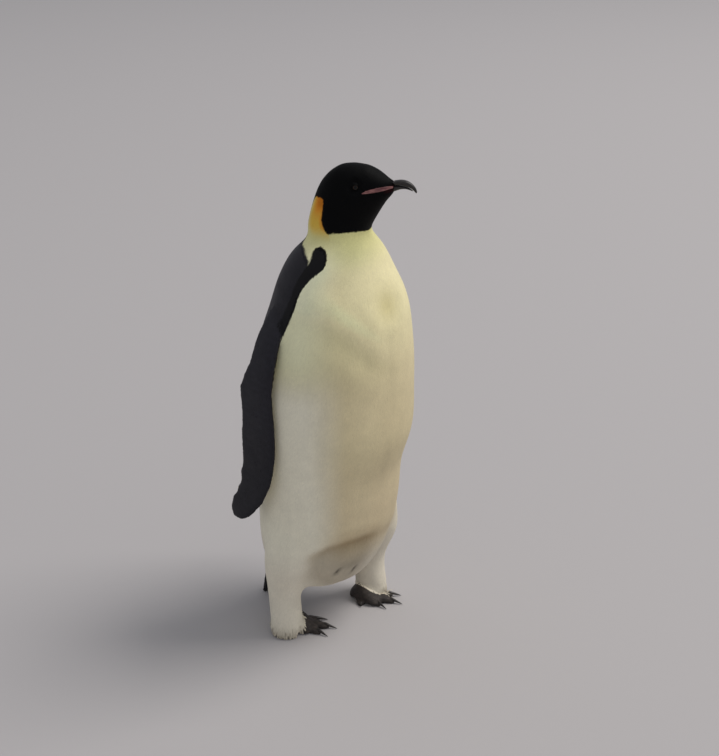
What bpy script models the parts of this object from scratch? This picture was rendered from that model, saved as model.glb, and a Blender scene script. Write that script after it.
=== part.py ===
"""An emperor penguin, life size, standing still with its head turned to its left.

Metres, +Z up, floor at z = 0. The bird faces -Y, so its left side is at +X. Shapes are given
in the bird's own terms: `forward` runs from its back to its belly (forward = -Y), `out` runs
from its middle to either side, and `height` is above the floor. The origin of those terms is
midway between the ankles; everything hangs on one empty that puts the origin of the part
under the middle of its bounding box.
"""

import math

import bmesh
import bpy
from mathutils import Matrix, Vector

# ---------------------------------------------------------------- driving dimensions
GAP = 0.0004            # clearance between neighbouring pieces
HEAD_TURN = math.radians(22.0)      # the head looks to the bird's left
NECK_FORWARD = 0.021    # the vertical axis that the neck twists about
TWIST_FROM, TWIST_TO = 0.79, 0.90   # heights between which the neck twists
NECK_BASE = 0.812       # height of the cut between trunk and neck
BODY_SIDES = 28         # facets round the trunk, neck and head, a multiple of four
BODY_STEPS = 2          # rings in each span between two body stations

EYE_RADIUS = 0.0080
EYE_FORWARD, EYE_HEIGHT, EYE_OUT = 0.071, 0.9915, 0.0330

STANCE = 0.119          # how far out each ankle stands
LEFT_LEAD, RIGHT_LEAD = 0.026, -0.026   # the left foot is a little ahead
FOOT_INWARD, FOOT_BACK = 0.029, 0.008   # from the middle of the feathered leg
LEFT_HEADING, RIGHT_HEADING = math.radians(18.0), math.radians(26.0)  # to the bird's left

# Where the bounding box's middle lies from the midpoint of the ankles.
BOX_OUT, BOX_FORWARD = 0.0, -0.00322

# The body from rump to bill: where the belly line and the back line are, as
# (forward, height), and half the width between them.
BODY_STATIONS = (
    ((-0.100, 0.059), (-0.135, 0.074), 0.0220),   # end of the rump, inside the tail
    ((-0.060, 0.070), (-0.153, 0.130), 0.0650),   # vent
    ((0.008, 0.084), (-0.155, 0.187), 0.0990),    # between the thighs
    ((0.072, 0.120), (-0.150, 0.245), 0.1290),    # lower edge of the belly
    ((0.122, 0.205), (-0.145, 0.300), 0.1460),
    ((0.143, 0.312), (-0.1435, 0.365), 0.1540),
    ((0.1455, 0.384), (-0.146, 0.420), 0.1610),
    ((0.1725, 0.470), (-0.148, 0.482), 0.1700),
    ((0.1730, 0.555), (-0.1455, 0.555), 0.1720),  # fullest part of the belly
    ((0.1740, 0.625), (-0.134, 0.625), 0.1660),
    ((0.1700, 0.690), (-0.121, 0.690), 0.1565),   # breast
    ((0.1650, 0.742), (-0.1025, 0.742), 0.1435),
    ((0.153, 0.783), (-0.092, 0.783), 0.1285),    # shoulders
    ((0.141, 0.812), (-0.083, 0.812), 0.1130),
    ((0.124, 0.851), (-0.0625, 0.851), 0.0910),   # base of the neck
    ((0.1095, 0.874), (-0.0340, 0.876), 0.0690),
    ((0.0940, 0.892), (-0.0330, 0.897), 0.0615),  # end of the black hood
    ((0.0938, 0.9043), (-0.0282, 0.925), 0.0555),
    ((0.0988, 0.9153), (-0.0195, 0.957), 0.0505),  # nape
    ((0.1083, 0.9320), (-0.0025, 0.9960), 0.0460),
    ((0.1185, 0.9494), (0.0340, 1.0265), 0.0400),  # crown and chin
    ((0.1268, 0.9618), (0.085, 1.0285), 0.0315),
    ((0.1330, 0.9690), (0.1165, 1.0135), 0.0220),  # forehead
    ((0.1368, 0.9738), (0.1285, 1.0048), 0.0150),
    ((0.1402, 0.9765), (0.1415, 1.0000), 0.0105),  # where the horn of the bill begins
)
BODY_SQUARENESS = 2.15
HEAD_FROM_RING = 16     # the first station that belongs to the head

# Each half of the bill: upper edge, lower edge and half width, in the head's own plane.
UPPER_BILL = (
    ((0.105, 0.9970), (0.100, 0.9870), 0.0080),
    ((0.128, 0.9995), (0.125, 0.9900), 0.0088),
    ((0.1425, 1.0012), (0.141, 0.9930), 0.0088),
    ((0.153, 1.0032), (0.152, 0.9926), 0.0082),
    ((0.165, 1.0022), (0.163, 0.9912), 0.0068),
    ((0.1757, 0.9968), (0.1725, 0.9880), 0.0052),
    ((0.1830, 0.9890), (0.179, 0.9832), 0.0036),
    ((0.1862, 0.9810), (0.1842, 0.9777), 0.0014),
)
LOWER_BILL = (
    ((0.100, 0.9862), (0.105, 0.9700), 0.0085),
    ((0.125, 0.9892), (0.128, 0.9750), 0.0090),
    ((0.141, 0.9922), (0.1425, 0.9800), 0.0080),
    ((0.152, 0.9918), (0.1535, 0.9845), 0.0068),
    ((0.163, 0.9903), (0.164, 0.9855), 0.0052),
    ((0.1715, 0.9873), (0.172, 0.9838), 0.0034),
    ((0.177, 0.9836), (0.1775, 0.9815), 0.0016),
)
BILL_SIDES, BILL_STEPS = 12, 2

# The bare plate that lines the gape on each cheek: forward, height and half its width.
PLATE_STATIONS = (
    (0.0860, 0.9808, 0.0010),
    (0.0935, 0.9832, 0.0026),
    (0.1030, 0.9852, 0.0036),
    (0.1120, 0.9869, 0.0041),
    (0.1230, 0.9885, 0.0038),
    (0.1350, 0.9898, 0.0027),
    (0.1435, 0.9905, 0.0014),
)
PLATE_RISE = 0.0014     # how far it stands proud of the cheek

# The feathered leg: height, how far its middle is out from the ankle's line and forward
# of the ankle, and its half sizes across and along the bird.
LEG_STATIONS = (
    (0.345, -0.050, 0.004, 0.0520, 0.0660),
    (0.285, -0.031, 0.008, 0.0590, 0.0680),
    (0.218, -0.012, 0.008, 0.0540, 0.0580),
    (0.179, 0.001, 0.007, 0.0480, 0.0530),
    (0.115, 0.000, -0.006, 0.0350, 0.0375),
    (0.072, -0.0015, -0.0055, 0.0330, 0.0350),
    (0.040, 0.000, -0.0015, 0.0345, 0.0355),
    (0.020, 0.000, 0.000, 0.0365, 0.0370),
    (0.0095, 0.000, 0.000, 0.0350, 0.0355),
)
LEG_SIDES, LEG_STEPS = 20, 2

# The flipper hangs from the shoulder: out, forward and height of its middle line, then its
# chord, its thickness and how far its flat turns round the flank, in degrees.
FLIPPER_STATIONS = (
    (0.100, -0.012, 0.790, 0.040, 0.0180, 4),
    (0.130, -0.021, 0.742, 0.054, 0.0230, 6),
    (0.158, -0.026, 0.695, 0.067, 0.0230, 8),
    (0.174, -0.030, 0.645, 0.073, 0.0210, 8),
    (0.180, -0.0425, 0.595, 0.0905, 0.0190, 5),
    (0.181, -0.0395, 0.540, 0.0925, 0.0175, 4),
    (0.180, -0.0400, 0.480, 0.0970, 0.0160, 4),
    (0.178, -0.0465, 0.418, 0.0920, 0.0145, 4),
    (0.175, -0.0615, 0.366, 0.0840, 0.0130, 5),
    (0.172, -0.0840, 0.328, 0.0820, 0.0115, 6),
    (0.170, -0.1020, 0.300, 0.0700, 0.0100, 7),
    (0.169, -0.1105, 0.284, 0.0480, 0.0085, 8),
    (0.1685, -0.1150, 0.276, 0.0260, 0.0060, 8),
)
FLIPPER_SIDES, FLIPPER_STEPS = 12, 2

# The tail: forward and height of its middle line, half width, half thickness.
TAIL_STATIONS = (
    (-0.110, 0.150, 0.036, 0.020),
    (-0.132, 0.115, 0.041, 0.019),
    (-0.148, 0.078, 0.039, 0.014),
    (-0.162, 0.040, 0.034, 0.009),
    (-0.173, 0.008, 0.028, 0.0055),
    (-0.179, -0.010, 0.026, 0.0045),
)
TAIL_SIDES, TAIL_STEPS = 16, 2

# Toes, each as (name, heading from the foot's own line in degrees, length).
TOES = (("inner", -24, 0.060), ("middle", 0, 0.081), ("outer", 22, 0.074))
TOE_WIDTH, TOE_DEPTH = 0.0128, 0.0215    # half width and height at the root of a toe
CLAW_LENGTH, CLAW_RADIUS, CLAW_RISE = 0.028, 0.0046, 0.0050
HALLUX_HEADING, HALLUX_LENGTH = math.radians(-72.0), 0.040
HALLUX_CLAW_LENGTH, HALLUX_CLAW_RADIUS = 0.012, 0.0024
FOOT_GRAIN = 0.0030     # voxel size that melts toes, webs and instep into one foot
FOOT_FACETS = 0.075     # share of the foot's triangles that is kept


# ---------------------------------------------------------------- shape helpers
def spot(out, forward, height):
    """A point in the bird's own terms as a Blender vector."""
    return Vector((out, -forward, height))


def flat_tuple(station):
    """A station's numbers in one row, whether or not they were grouped."""
    row = []
    for value in station:
        row.extend(value if isinstance(value, tuple) else (value,))
    return row


def along(stations, steps):
    """The stations with `steps` smooth Catmull-Rom values in each span between them."""
    rows = [flat_tuple(station) for station in stations]
    padded = [rows[0]] + rows + [rows[-1]]
    smooth = []
    for first, a, b, last in zip(padded, padded[1:], padded[2:], padded[3:]):
        for step in range(steps):
            t = step / steps
            smooth.append([
                0.5 * (2 * q + (r - p) * t + (2 * p - 5 * q + 4 * r - s) * t ** 2
                       + (3 * q - p - 3 * r + s) * t ** 3)
                for p, q, r, s in zip(first, a, b, last)
            ])
    smooth.append(rows[-1])
    return smooth


def power(value, squareness):
    """Sine or cosine bent towards a superellipse."""
    return math.copysign(abs(value) ** (2.0 / squareness), value)


def oval(centre, across, along_axis, sides, squareness=2.0):
    """A ring of points round `centre`, spanned by two half axes."""
    ring = []
    for index in range(sides):
        angle = 2 * math.pi * index / sides
        ring.append(centre + across * power(math.sin(angle), squareness)
                    + along_axis * power(math.cos(angle), squareness))
    return ring


def loft(rings):
    """A closed bmesh through the rings, with a fan over each end."""
    bm = bmesh.new()
    rows = [[bm.verts.new(point) for point in ring] for ring in rings]
    for low, high in zip(rows, rows[1:]):
        for index in range(len(low)):
            after = (index + 1) % len(low)
            bm.faces.new((low[index], low[after], high[after], high[index]))
    for row in (rows[0], rows[-1]):
        middle = bm.verts.new(sum((v.co for v in row), Vector()) / len(row))
        for index in range(len(row)):
            bm.faces.new((row[index], row[(index + 1) % len(row)], middle))
    bmesh.ops.recalc_face_normals(bm, faces=bm.faces)
    return bm


def keep_side(bm, point, direction):
    """Cuts the closed form flat at `point` and keeps what lies towards `direction`."""
    geometry = bm.verts[:] + bm.edges[:] + bm.faces[:]
    cut = bmesh.ops.bisect_plane(
        bm, geom=geometry, plane_co=point, plane_no=direction, clear_inner=True, dist=1e-6)
    rim = [item for item in cut["geom_cut"] if isinstance(item, bmesh.types.BMEdge)]
    bmesh.ops.contextual_create(bm, geom=rim)
    bmesh.ops.recalc_face_normals(bm, faces=bm.faces)


def slide(bm, offset):
    """Moves the whole form."""
    bmesh.ops.translate(bm, verts=bm.verts, vec=offset)


def grow(bm, distance):
    """Moves each point of the form outwards."""
    bm.normal_update()
    for vert in bm.verts:
        vert.co += vert.normal * distance


def smoothstep(value, low, high):
    t = min(max((value - low) / (high - low), 0.0), 1.0)
    return t * t * (3 - 2 * t)


# ---------------------------------------------------------------- objects and materials
def material(name, colour, roughness):
    made = bpy.data.materials.new(name)
    made.use_nodes = True
    made.diffuse_color = (*colour, 1.0)
    shader = made.node_tree.nodes["Principled BSDF"]
    shader.inputs["Base Color"].default_value = (*colour, 1.0)
    shader.inputs["Roughness"].default_value = roughness
    shader.inputs["Metallic"].default_value = 0.0
    return made


def piece(name, bm, finish, parent):
    """The bmesh as a named, smooth-shaded object in the penguin's collection."""
    mesh = bpy.data.meshes.new(name)
    bm.to_mesh(mesh)
    bm.free()
    mesh.materials.append(finish)
    mesh.shade_smooth()
    mesh.set_sharp_from_angle(angle=math.radians(40))
    made = bpy.data.objects.new(name, mesh)
    PENGUIN.objects.link(made)
    made.parent = parent
    return made


def cutter(name, bm, parent):
    """A form that only cuts others."""
    mesh = bpy.data.meshes.new(name)
    bm.to_mesh(mesh)
    bm.free()
    made = bpy.data.objects.new(name, mesh)
    CUTTERS.objects.link(made)
    made.parent = parent
    made.hide_render = True
    made.display_type = "WIRE"
    return made


def cut_with(target, operation, tool):
    cut = target.modifiers.new(operation.lower() + "_" + tool.name, "BOOLEAN")
    cut.operation = operation
    cut.solver = "EXACT"
    cut.object = tool


def subtract(target, *tools):
    for tool in tools:
        cut_with(target, "DIFFERENCE", tool)


def empty(name, location, turn, parent=None):
    made = bpy.data.objects.new(name, None)
    PENGUIN.objects.link(made)
    made.location = location
    made.rotation_euler = (0.0, 0.0, turn)
    made.parent = parent
    return made


# ---------------------------------------------------------------- trunk, neck and head
def body_rings(grow=0.0):
    """Rings from rump to bill. The neck's rings turn step by step to where the head looks."""
    rings = []
    axis = spot(0, NECK_FORWARD, 0)
    for front_f, front_h, back_f, back_h, half in along(BODY_STATIONS, BODY_STEPS):
        front, back = spot(0, front_f, front_h), spot(0, back_f, back_h)
        centre, reach = (front + back) / 2, (front - back) / 2
        reach += reach.normalized() * grow
        ring = oval(centre, Vector((half + grow, 0, 0)), reach, BODY_SIDES, BODY_SQUARENESS)
        turn = HEAD_TURN * smoothstep((front_h + back_h) / 2, TWIST_FROM, TWIST_TO)
        spin = Matrix.Rotation(turn, 3, "Z")
        rings.append([axis + spin @ (point - axis) for point in ring])
    return rings


def middle_of(ring):
    return sum(ring, Vector()) / len(ring)


def head_plane():
    """A point and the upward direction of the cut between neck and head."""
    rings = body_rings()
    at = HEAD_FROM_RING * BODY_STEPS
    front, back = rings[at][0], rings[at][BODY_SIDES // 2]
    side = rings[at][BODY_SIDES // 4] - middle_of(rings[at])
    direction = side.cross(front - back)
    return (front + back) / 2, direction.normalized() * (1 if direction.z > 0 else -1)


def build_body(parent):
    """Trunk, neck and head are one form, parted by two thin cuts."""
    up = Vector((0, 0, 1))
    shoulder = Vector((0, 0, NECK_BASE))
    throat, skull_side = head_plane()
    half_gap = GAP / 2

    trunk = loft(body_rings())
    keep_side(trunk, shoulder - up * half_gap, -up)

    neck = loft(body_rings())
    keep_side(neck, shoulder + up * half_gap, up)
    keep_side(neck, throat - skull_side * half_gap, -skull_side)

    head = loft(body_rings())
    keep_side(head, throat + skull_side * half_gap, skull_side)

    return (piece("trunk", trunk, PLUMAGE_PALE, parent),
            piece("neck", neck, PLUMAGE_PALE, parent),
            piece("head", head, PLUMAGE_BLACK, parent))


def bill_rings(stations):
    rings = []
    for top_f, top_h, low_f, low_h, half in along(stations, BILL_STEPS):
        top, low = spot(0, top_f, top_h), spot(0, low_f, low_h)
        rings.append(oval((top + low) / 2, Vector((half, 0, 0)), (top - low) / 2, BILL_SIDES, 2.3))
    return rings


def plate_form(sign):
    """A slab through one cheek whose edge is the outline of the plate."""
    rows = PLATE_STATIONS
    rings = []
    for index, (forward, height, half) in enumerate(rows):
        before, after = rows[max(index - 1, 0)], rows[min(index + 1, len(rows) - 1)]
        way = spot(0, after[0] - before[0], after[1] - before[1]).normalized()
        up = way.cross(Vector((1, 0, 0))) * half
        near, far = (spot(sign * out, forward, height) for out in (0.004, 0.070))
        rings.append([near - up, near + up, far + up, far - up])
    return loft(rings)


def build_face(head, head_cutter, parent):
    """Bill, the plates beside it and eyes, which turn with the head."""
    shift = spot(0, -NECK_FORWARD, 0)
    for name, stations in (("bill_upper", UPPER_BILL), ("bill_lower", LOWER_BILL)):
        form = loft(bill_rings(stations))
        slide(form, shift)
        subtract(piece(name, form, HORN, parent), head_cutter)

    proud_body = cutter("proud_body", loft(body_rings(PLATE_RISE)), head_cutter.parent)
    for side, sign in (("left", 1), ("right", -1)):
        form = plate_form(sign)
        slide(form, shift)
        plate = piece("bill_plate_" + side, form, ROSE_HORN, parent)
        cut_with(plate, "INTERSECT", proud_body)
        cut_with(plate, "DIFFERENCE", head_cutter)

        place = spot(sign * EYE_OUT, EYE_FORWARD, EYE_HEIGHT) + shift
        ball = bmesh.new()
        bmesh.ops.create_uvsphere(ball, u_segments=16, v_segments=10, radius=EYE_RADIUS)
        eye = piece("eye_" + side, ball, EYE, parent)
        eye.location = place
        hollow = bmesh.new()
        bmesh.ops.create_uvsphere(hollow, u_segments=16, v_segments=10, radius=EYE_RADIUS + GAP)
        socket = cutter("socket_" + side, hollow, parent)
        socket.location = place
        subtract(head, socket)


# ---------------------------------------------------------------- legs and feet
def leg_rings(sign, lead):
    rings = []
    for height, out, forward, across, deep in along(LEG_STATIONS, LEG_STEPS):
        centre = spot(sign * (STANCE + out), forward + lead, height)
        rings.append(oval(centre, Vector((across, 0, 0)), spot(0, deep, 0), LEG_SIDES, 2.1))
    return rings


def foot_axes(heading):
    """Unit vectors along and across a toe with this heading, seen from above."""
    return (Vector((math.sin(heading), -math.cos(heading), 0)),
            Vector((math.cos(heading), math.sin(heading), 0)))


def toe_form(heading, length):
    """A toe lying along the floor, with its pads, from the ankle at the origin."""
    ahead, across = foot_axes(heading)
    rings = []
    steps = 14
    for step in range(steps + 1):
        share = step / steps
        taper = 1.0 - 0.42 * share ** 1.5
        pad = 1.0 + 0.07 * math.cos(6 * math.pi * share)
        close = math.sqrt(max(1.0 - max(share - 0.86, 0.0) ** 2 / 0.0205, 0.06))
        half = TOE_WIDTH * taper * pad * close
        tall = TOE_DEPTH * taper * pad * close / 2
        centre = ahead * (length * share) + Vector((0, 0, tall * 0.80))
        rings.append(oval(centre, across * half, Vector((0, 0, tall)), 12, 2.3))
    return loft(rings)


def web_form(first, second):
    """The web between two toes: a thin sheet whose edge runs in a shallow bay."""
    (start, short), (end, long_one) = first, second
    outline = [Vector((0, 0.006, 0))]
    points = 8
    for index in range(points + 1):
        share = index / points
        heading = start + (end - start) * share
        bay = 1.0 - 0.22 * math.sin(math.pi * share)
        reach = (short + (long_one - short) * share) * 0.93 * bay
        outline.append(foot_axes(heading)[0] * reach)
    thick = 0.0085
    return loft([[p + Vector((0, 0, 0.0005)) for p in outline],
                 [p + Vector((0, 0, thick)) for p in outline]])


def instep_form():
    """From the ankle inside the feathers down to the roots of the toes."""
    stations = (
        (-0.024, 0.004, 0.012, 0.010),
        (-0.016, 0.013, 0.018, 0.016),
        (0.000, 0.020, 0.021, 0.022),
        (0.020, 0.017, 0.022, 0.019),
        (0.038, 0.011, 0.021, 0.013),
        (0.052, 0.006, 0.016, 0.007),
    )
    rings = [oval(spot(0, forward, height), Vector((half, 0, 0)), Vector((0, 0, tall)), 14)
             for forward, height, half, tall in along(stations, 2)]
    return loft(rings)


def melted(forms):
    """Overlapping closed forms made one skin: voxels, a little smoothing, fewer facets."""
    joined = bmesh.new()
    for form in forms:
        loose = bpy.data.meshes.new("loose")
        form.to_mesh(loose)
        form.free()
        joined.from_mesh(loose)
        bpy.data.meshes.remove(loose)
    raw = bpy.data.meshes.new("raw")
    joined.to_mesh(raw)
    joined.free()
    holder = bpy.data.objects.new("raw", raw)
    CUTTERS.objects.link(holder)
    remesh = holder.modifiers.new("melt", "REMESH")
    remesh.mode = "VOXEL"
    remesh.voxel_size = FOOT_GRAIN
    soften = holder.modifiers.new("soften", "SMOOTH")
    soften.iterations = 4
    fewer = holder.modifiers.new("fewer", "DECIMATE")
    fewer.ratio = FOOT_FACETS
    done = holder.evaluated_get(bpy.context.evaluated_depsgraph_get())
    result = bmesh.new()
    result.from_mesh(done.to_mesh())
    done.to_mesh_clear()
    bpy.data.objects.remove(holder)
    return result


def claw_form(heading, length, radius):
    """A curved claw from the origin that runs down to the floor."""
    ahead, across = foot_axes(heading)
    rings = []
    steps = 6
    for step in range(steps + 1):
        share = step / steps
        thin = radius * (1.0 - 0.88 * share ** 1.5)
        height = CLAW_RISE * (1 - share) ** 1.2 + 0.0008 + thin
        centre = ahead * (length * share) + Vector((0, 0, height))
        rings.append(oval(centre, across * thin * 0.85, Vector((0, 0, thin)), 6))
    return loft(rings)


def foot_spot(sign, lead):
    """Where the ankle inside this foot stands."""
    return spot(sign * (STANCE - FOOT_INWARD), lead - FOOT_BACK, 0)


def foot_heading(sign):
    """Where the foot of this side points."""
    return LEFT_HEADING if sign > 0 else RIGHT_HEADING


def headings(sign):
    """Each toe's heading and length on the foot of this side."""
    return [(name, foot_heading(sign) + sign * math.radians(degrees), length)
            for name, degrees, length in TOES]


def foot_form(sign):
    """A webbed foot with three toes in front and the small hallux inside, ankle at the origin."""
    (_, inner, inner_length), (_, middle, middle_length), (_, outer, outer_length) = headings(sign)
    forms = [toe_form(heading, length) for _, heading, length in headings(sign)]
    forms.append(web_form((inner, inner_length), (middle, middle_length)))
    forms.append(web_form((middle, middle_length), (outer, outer_length)))
    forms.append(instep_form())
    hallux = toe_form(foot_heading(sign) + sign * HALLUX_HEADING, HALLUX_LENGTH)
    bmesh.ops.scale(hallux, vec=(1.0, 1.0, 0.62), verts=hallux.verts)
    forms.append(hallux)
    foot = melted(forms)
    keep_side(foot, Vector((0, 0, 0)), Vector((0, 0, 1)))
    return foot


def build_claws(side, sign, lead, foot_cutter, parent):
    claws = [(name, heading, length, CLAW_LENGTH, CLAW_RADIUS)
             for name, heading, length in headings(sign)]
    claws.append(("hallux", foot_heading(sign) + sign * HALLUX_HEADING, HALLUX_LENGTH,
                  HALLUX_CLAW_LENGTH, HALLUX_CLAW_RADIUS))
    for name, heading, length, claw_length, radius in claws:
        ahead, _ = foot_axes(heading)
        form = claw_form(heading, claw_length, radius)
        slide(form, foot_spot(sign, lead) + ahead * (length - 0.35 * claw_length))
        subtract(piece(f"claw_{side}_{name}", form, CLAW, parent), foot_cutter)


# ---------------------------------------------------------------- flippers and tail
def flipper_rings(sign):
    """Sections like a wing's: thick at the leading edge, thin at the trailing one."""
    rows = along(FLIPPER_STATIONS, FLIPPER_STEPS)
    rings = []
    for out, forward, height, chord, thick, wrap in rows:
        centre = spot(sign * out, forward, height)
        turn = math.radians(wrap)
        lead_way = spot(sign * math.sin(turn), math.cos(turn), 0)
        face_way = spot(sign * math.cos(turn), -math.sin(turn), 0)
        ring = []
        for index in range(FLIPPER_SIDES):
            angle = 2 * math.pi * index / FLIPPER_SIDES
            place = math.cos(angle)
            body = thick / 2 * math.sin(angle) * (0.66 + 0.34 * place)
            ring.append(centre + lead_way * (chord / 2 * place) + face_way * body)
        rings.append(ring)
    return rings


def tail_rings():
    rows = along(TAIL_STATIONS, TAIL_STEPS)
    rings = []
    for index, (forward, height, half, thin) in enumerate(rows):
        before, after = rows[max(index - 1, 0)], rows[min(index + 1, len(rows) - 1)]
        way = spot(0, after[0] - before[0], after[1] - before[1]).normalized()
        normal = way.cross(Vector((1, 0, 0)))
        centre = spot(0, forward, height)
        rings.append(oval(centre, Vector((half, 0, 0)), normal * thin, TAIL_SIDES, 2.4))
    return rings


def tail_form():
    """The stiff tail, cut flat where it props the bird on the floor."""
    tail = loft(tail_rings())
    keep_side(tail, Vector((0, 0, 0)), Vector((0, 0, 1)))
    return tail


def main():
    root = empty("penguin", spot(-BOX_OUT, -BOX_FORWARD, 0), 0.0)
    head_turn = empty("head_turn", spot(0, NECK_FORWARD, 0), HEAD_TURN, root)

    trunk, neck, head = build_body(root)
    grown_body = cutter("grown_body", loft(body_rings(GAP)), root)
    build_face(head, grown_body, head_turn)

    tail = piece("tail", tail_form(), PLUMAGE_DARK, root)
    subtract(tail, grown_body)

    for side, sign, lead in (("left", 1, LEFT_LEAD), ("right", -1, RIGHT_LEAD)):
        flipper = piece("flipper_" + side, loft(flipper_rings(sign)), PLUMAGE_DARK, root)
        subtract(flipper, grown_body)

        leg_form = loft(leg_rings(sign, lead))
        leg = piece("leg_" + side, leg_form, PLUMAGE_PALE, root)
        foot = foot_form(sign)
        slide(foot, foot_spot(sign, lead))
        grown_foot = foot.copy()
        grow(grown_foot, 2 * GAP)
        foot_cutter = cutter("grown_foot_" + side, grown_foot, root)
        piece("foot_" + side, foot, SKIN_OF_FEET, root)
        subtract(leg, grown_body, foot_cutter)
        build_claws(side, sign, lead, foot_cutter, root)


bpy.context.scene.unit_settings.system = "METRIC"
for leftover in list(bpy.data.objects):
    bpy.data.objects.remove(leftover)

PENGUIN = bpy.data.collections.new("emperor_penguin")
CUTTERS = bpy.data.collections.new("cutters")
for group in (PENGUIN, CUTTERS):
    bpy.context.scene.collection.children.link(group)
CUTTERS.hide_render = True

PLUMAGE_PALE = material("plumage_pale", (0.60, 0.53, 0.33), 0.85)
PLUMAGE_BLACK = material("plumage_black", (0.006, 0.006, 0.007), 0.70)
PLUMAGE_DARK = material("plumage_dark", (0.030, 0.030, 0.040), 0.75)
HORN = material("horn", (0.028, 0.024, 0.022), 0.40)
ROSE_HORN = material("rose_horn", (0.300, 0.110, 0.105), 0.45)
EYE = material("eye", (0.012, 0.008, 0.006), 0.08)
SKIN_OF_FEET = material("skin_of_feet", (0.030, 0.024, 0.020), 0.65)
CLAW = material("claw", (0.012, 0.010, 0.009), 0.35)

main()
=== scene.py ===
"""The looks of a life-size emperor penguin: one skin, its coat of feather vanes, and the horn.

Metres, +Z up. The bird faces -Y and its left side is at +X. The head is turned to its left.
The skin is made from the flesh solids of the frame, drawn in by the depth of the coat. Every
feather is a thin closed vane that lies along the skin. Skin and feathers take their colours
from one function, `markings`.
"""

import math

import bmesh
import bpy
import numpy as np
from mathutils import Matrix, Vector, noise
from mathutils.bvhtree import BVHTree


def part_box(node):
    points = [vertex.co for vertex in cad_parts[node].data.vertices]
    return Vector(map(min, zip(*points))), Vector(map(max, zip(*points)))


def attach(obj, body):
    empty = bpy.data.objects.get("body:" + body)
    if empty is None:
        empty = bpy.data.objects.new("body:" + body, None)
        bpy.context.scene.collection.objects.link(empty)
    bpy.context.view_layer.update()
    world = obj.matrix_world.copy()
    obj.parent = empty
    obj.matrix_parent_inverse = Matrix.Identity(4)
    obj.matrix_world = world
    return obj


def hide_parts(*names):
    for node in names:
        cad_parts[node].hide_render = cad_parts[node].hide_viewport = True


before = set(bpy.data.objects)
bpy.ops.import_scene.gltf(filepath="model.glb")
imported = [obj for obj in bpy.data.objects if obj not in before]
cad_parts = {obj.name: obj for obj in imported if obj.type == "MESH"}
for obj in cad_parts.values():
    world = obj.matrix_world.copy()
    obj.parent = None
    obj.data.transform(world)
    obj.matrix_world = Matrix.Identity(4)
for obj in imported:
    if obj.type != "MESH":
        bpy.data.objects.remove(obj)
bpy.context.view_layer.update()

# ---------------- driving sizes
HEAD_TURN = math.radians(22.0)          # the head looks to the bird's left
TWIST_FROM, TWIST_TO = 0.79, 0.90       # heights between which the neck twists
NECK_AXIS_Y = -0.0242                   # the upright axis it twists about
BILL_BASE = (0.118, 0.987)              # ahead of that axis and height, where the feathers end
HEAD_CENTRE = (0.035, 0.970)

# The parts of the skin: how deep each lies under the outline, how much it is smoothed, and how
# much more where its forms are large and soft.
SIDES = ("left", "right")
PARTS = [("trunk", 0.0013, 0.50, 0.5), ("neck", 0.0011, 0.45, 0.5), ("head", 0.0008, 0.40, 0.15),
         ("tail", 0.0015, 0.25, 0.0)]
for limb, *sizes in (("leg", 0.0018, 0.45, 0.35), ("flipper", 0.0007, 0.22, 0.0),
                     ("foot", -0.0002, 0.10, 0.0)):
    PARTS += [(f"{limb}_{side}", *sizes) for side in SIDES]
REGIONS = tuple(part[0] for part in PARTS)
COAT_DEPTH, SMOOTHING, SOFTNESS = np.array([part[1:] for part in PARTS]).T
TRUNK, NECK, HEAD, TAIL, LEG_L, LEG_R, FLIP_L, FLIP_R, FOOT_L, FOOT_R = range(len(PARTS))
LEGS, FLIPPERS, FEET = (LEG_L, LEG_R), (FLIP_L, FLIP_R), (FOOT_L, FOOT_R)
SMOOTH_ROUNDS, SOFT_ROUNDS = 24, 130    # on all of the skin, and on its large soft forms

# Grain of the skin in each part, from coarse under long feathers to fine on the bare feet.
BODY_GRAIN, HEAD_GRAIN, FLIPPER_GRAIN, FOOT_GRAIN = 0.0050, 0.0026, 0.0031, 0.0015
OVERLAP, FLIPPER_OVERLAP = 0.0006, 0.0012   # how far the solids grow to melt into one another

# Soft forms of the breast and belly. A place is a distance to the left and a height.
HOLLOW, HOLLOW_SIZE = (-0.008, 0.763), (0.028, 0.028)   # on the right of the breast
RING_RADIUS, RING_WIDTH = 0.050, 0.014                  # the swell round the hollow
CREASE, CREASE_SIZE, CREASE_SLANT = (-0.0105, 0.738), (0.007, 0.020), 0.5
VENT_POCKETS, POCKET_SIZE = ((-0.072, 0.165), (-0.032, 0.158)), (0.006, 0.010)
# How far they stand out or sink in.
RING_RISE, HOLLOW_RISE, CREASE_RISE, BELLY_RISE = 0.0012, -0.0046, -0.0012, 0.0020
UNDER_FOLD_RISE, OVER_FOLD_RISE, POCKET_DEPTH = -0.0044, -0.0016, 0.005
VENT_DEPTH, VENT_SHALLOWING = 0.0078, 0.0040
# Height of the fold where the belly hangs over the vent, by angle from ahead to the left.
FOLD_HEIGHT = ((-120, 0.168), (-90, 0.212), (-75, 0.236), (-60, 0.254), (-40, 0.264),
               (-20, 0.264), (5, 0.257), (60, 0.248), (90, 0.20), (120, 0.16))
# The soft step across the breast, by the same angle.
BREAST_FOLD = ((-110, 0.79), (-85, 0.783), (-65, 0.769), (-52, 0.755), (-40, 0.733),
               (-30, 0.711), (-10, 0.676), (20, 0.655), (60, 0.69), (100, 0.76))

# Plates and grains on the bare feet: how many in a metre, and how high.
SCUTES, SCUTE_HEIGHT, GRAINS, GRAIN_HEIGHT = 260.0, 0.00055, 900.0, 0.00010
# How far out the skin may stand round an eye: angle off its axis, share of its radius.
EYE_OPENING = ((0.0, 0.84), (0.45, 0.84), (0.72, 1.01), (1.10, 1.05), (1.5, 1.25))
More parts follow.
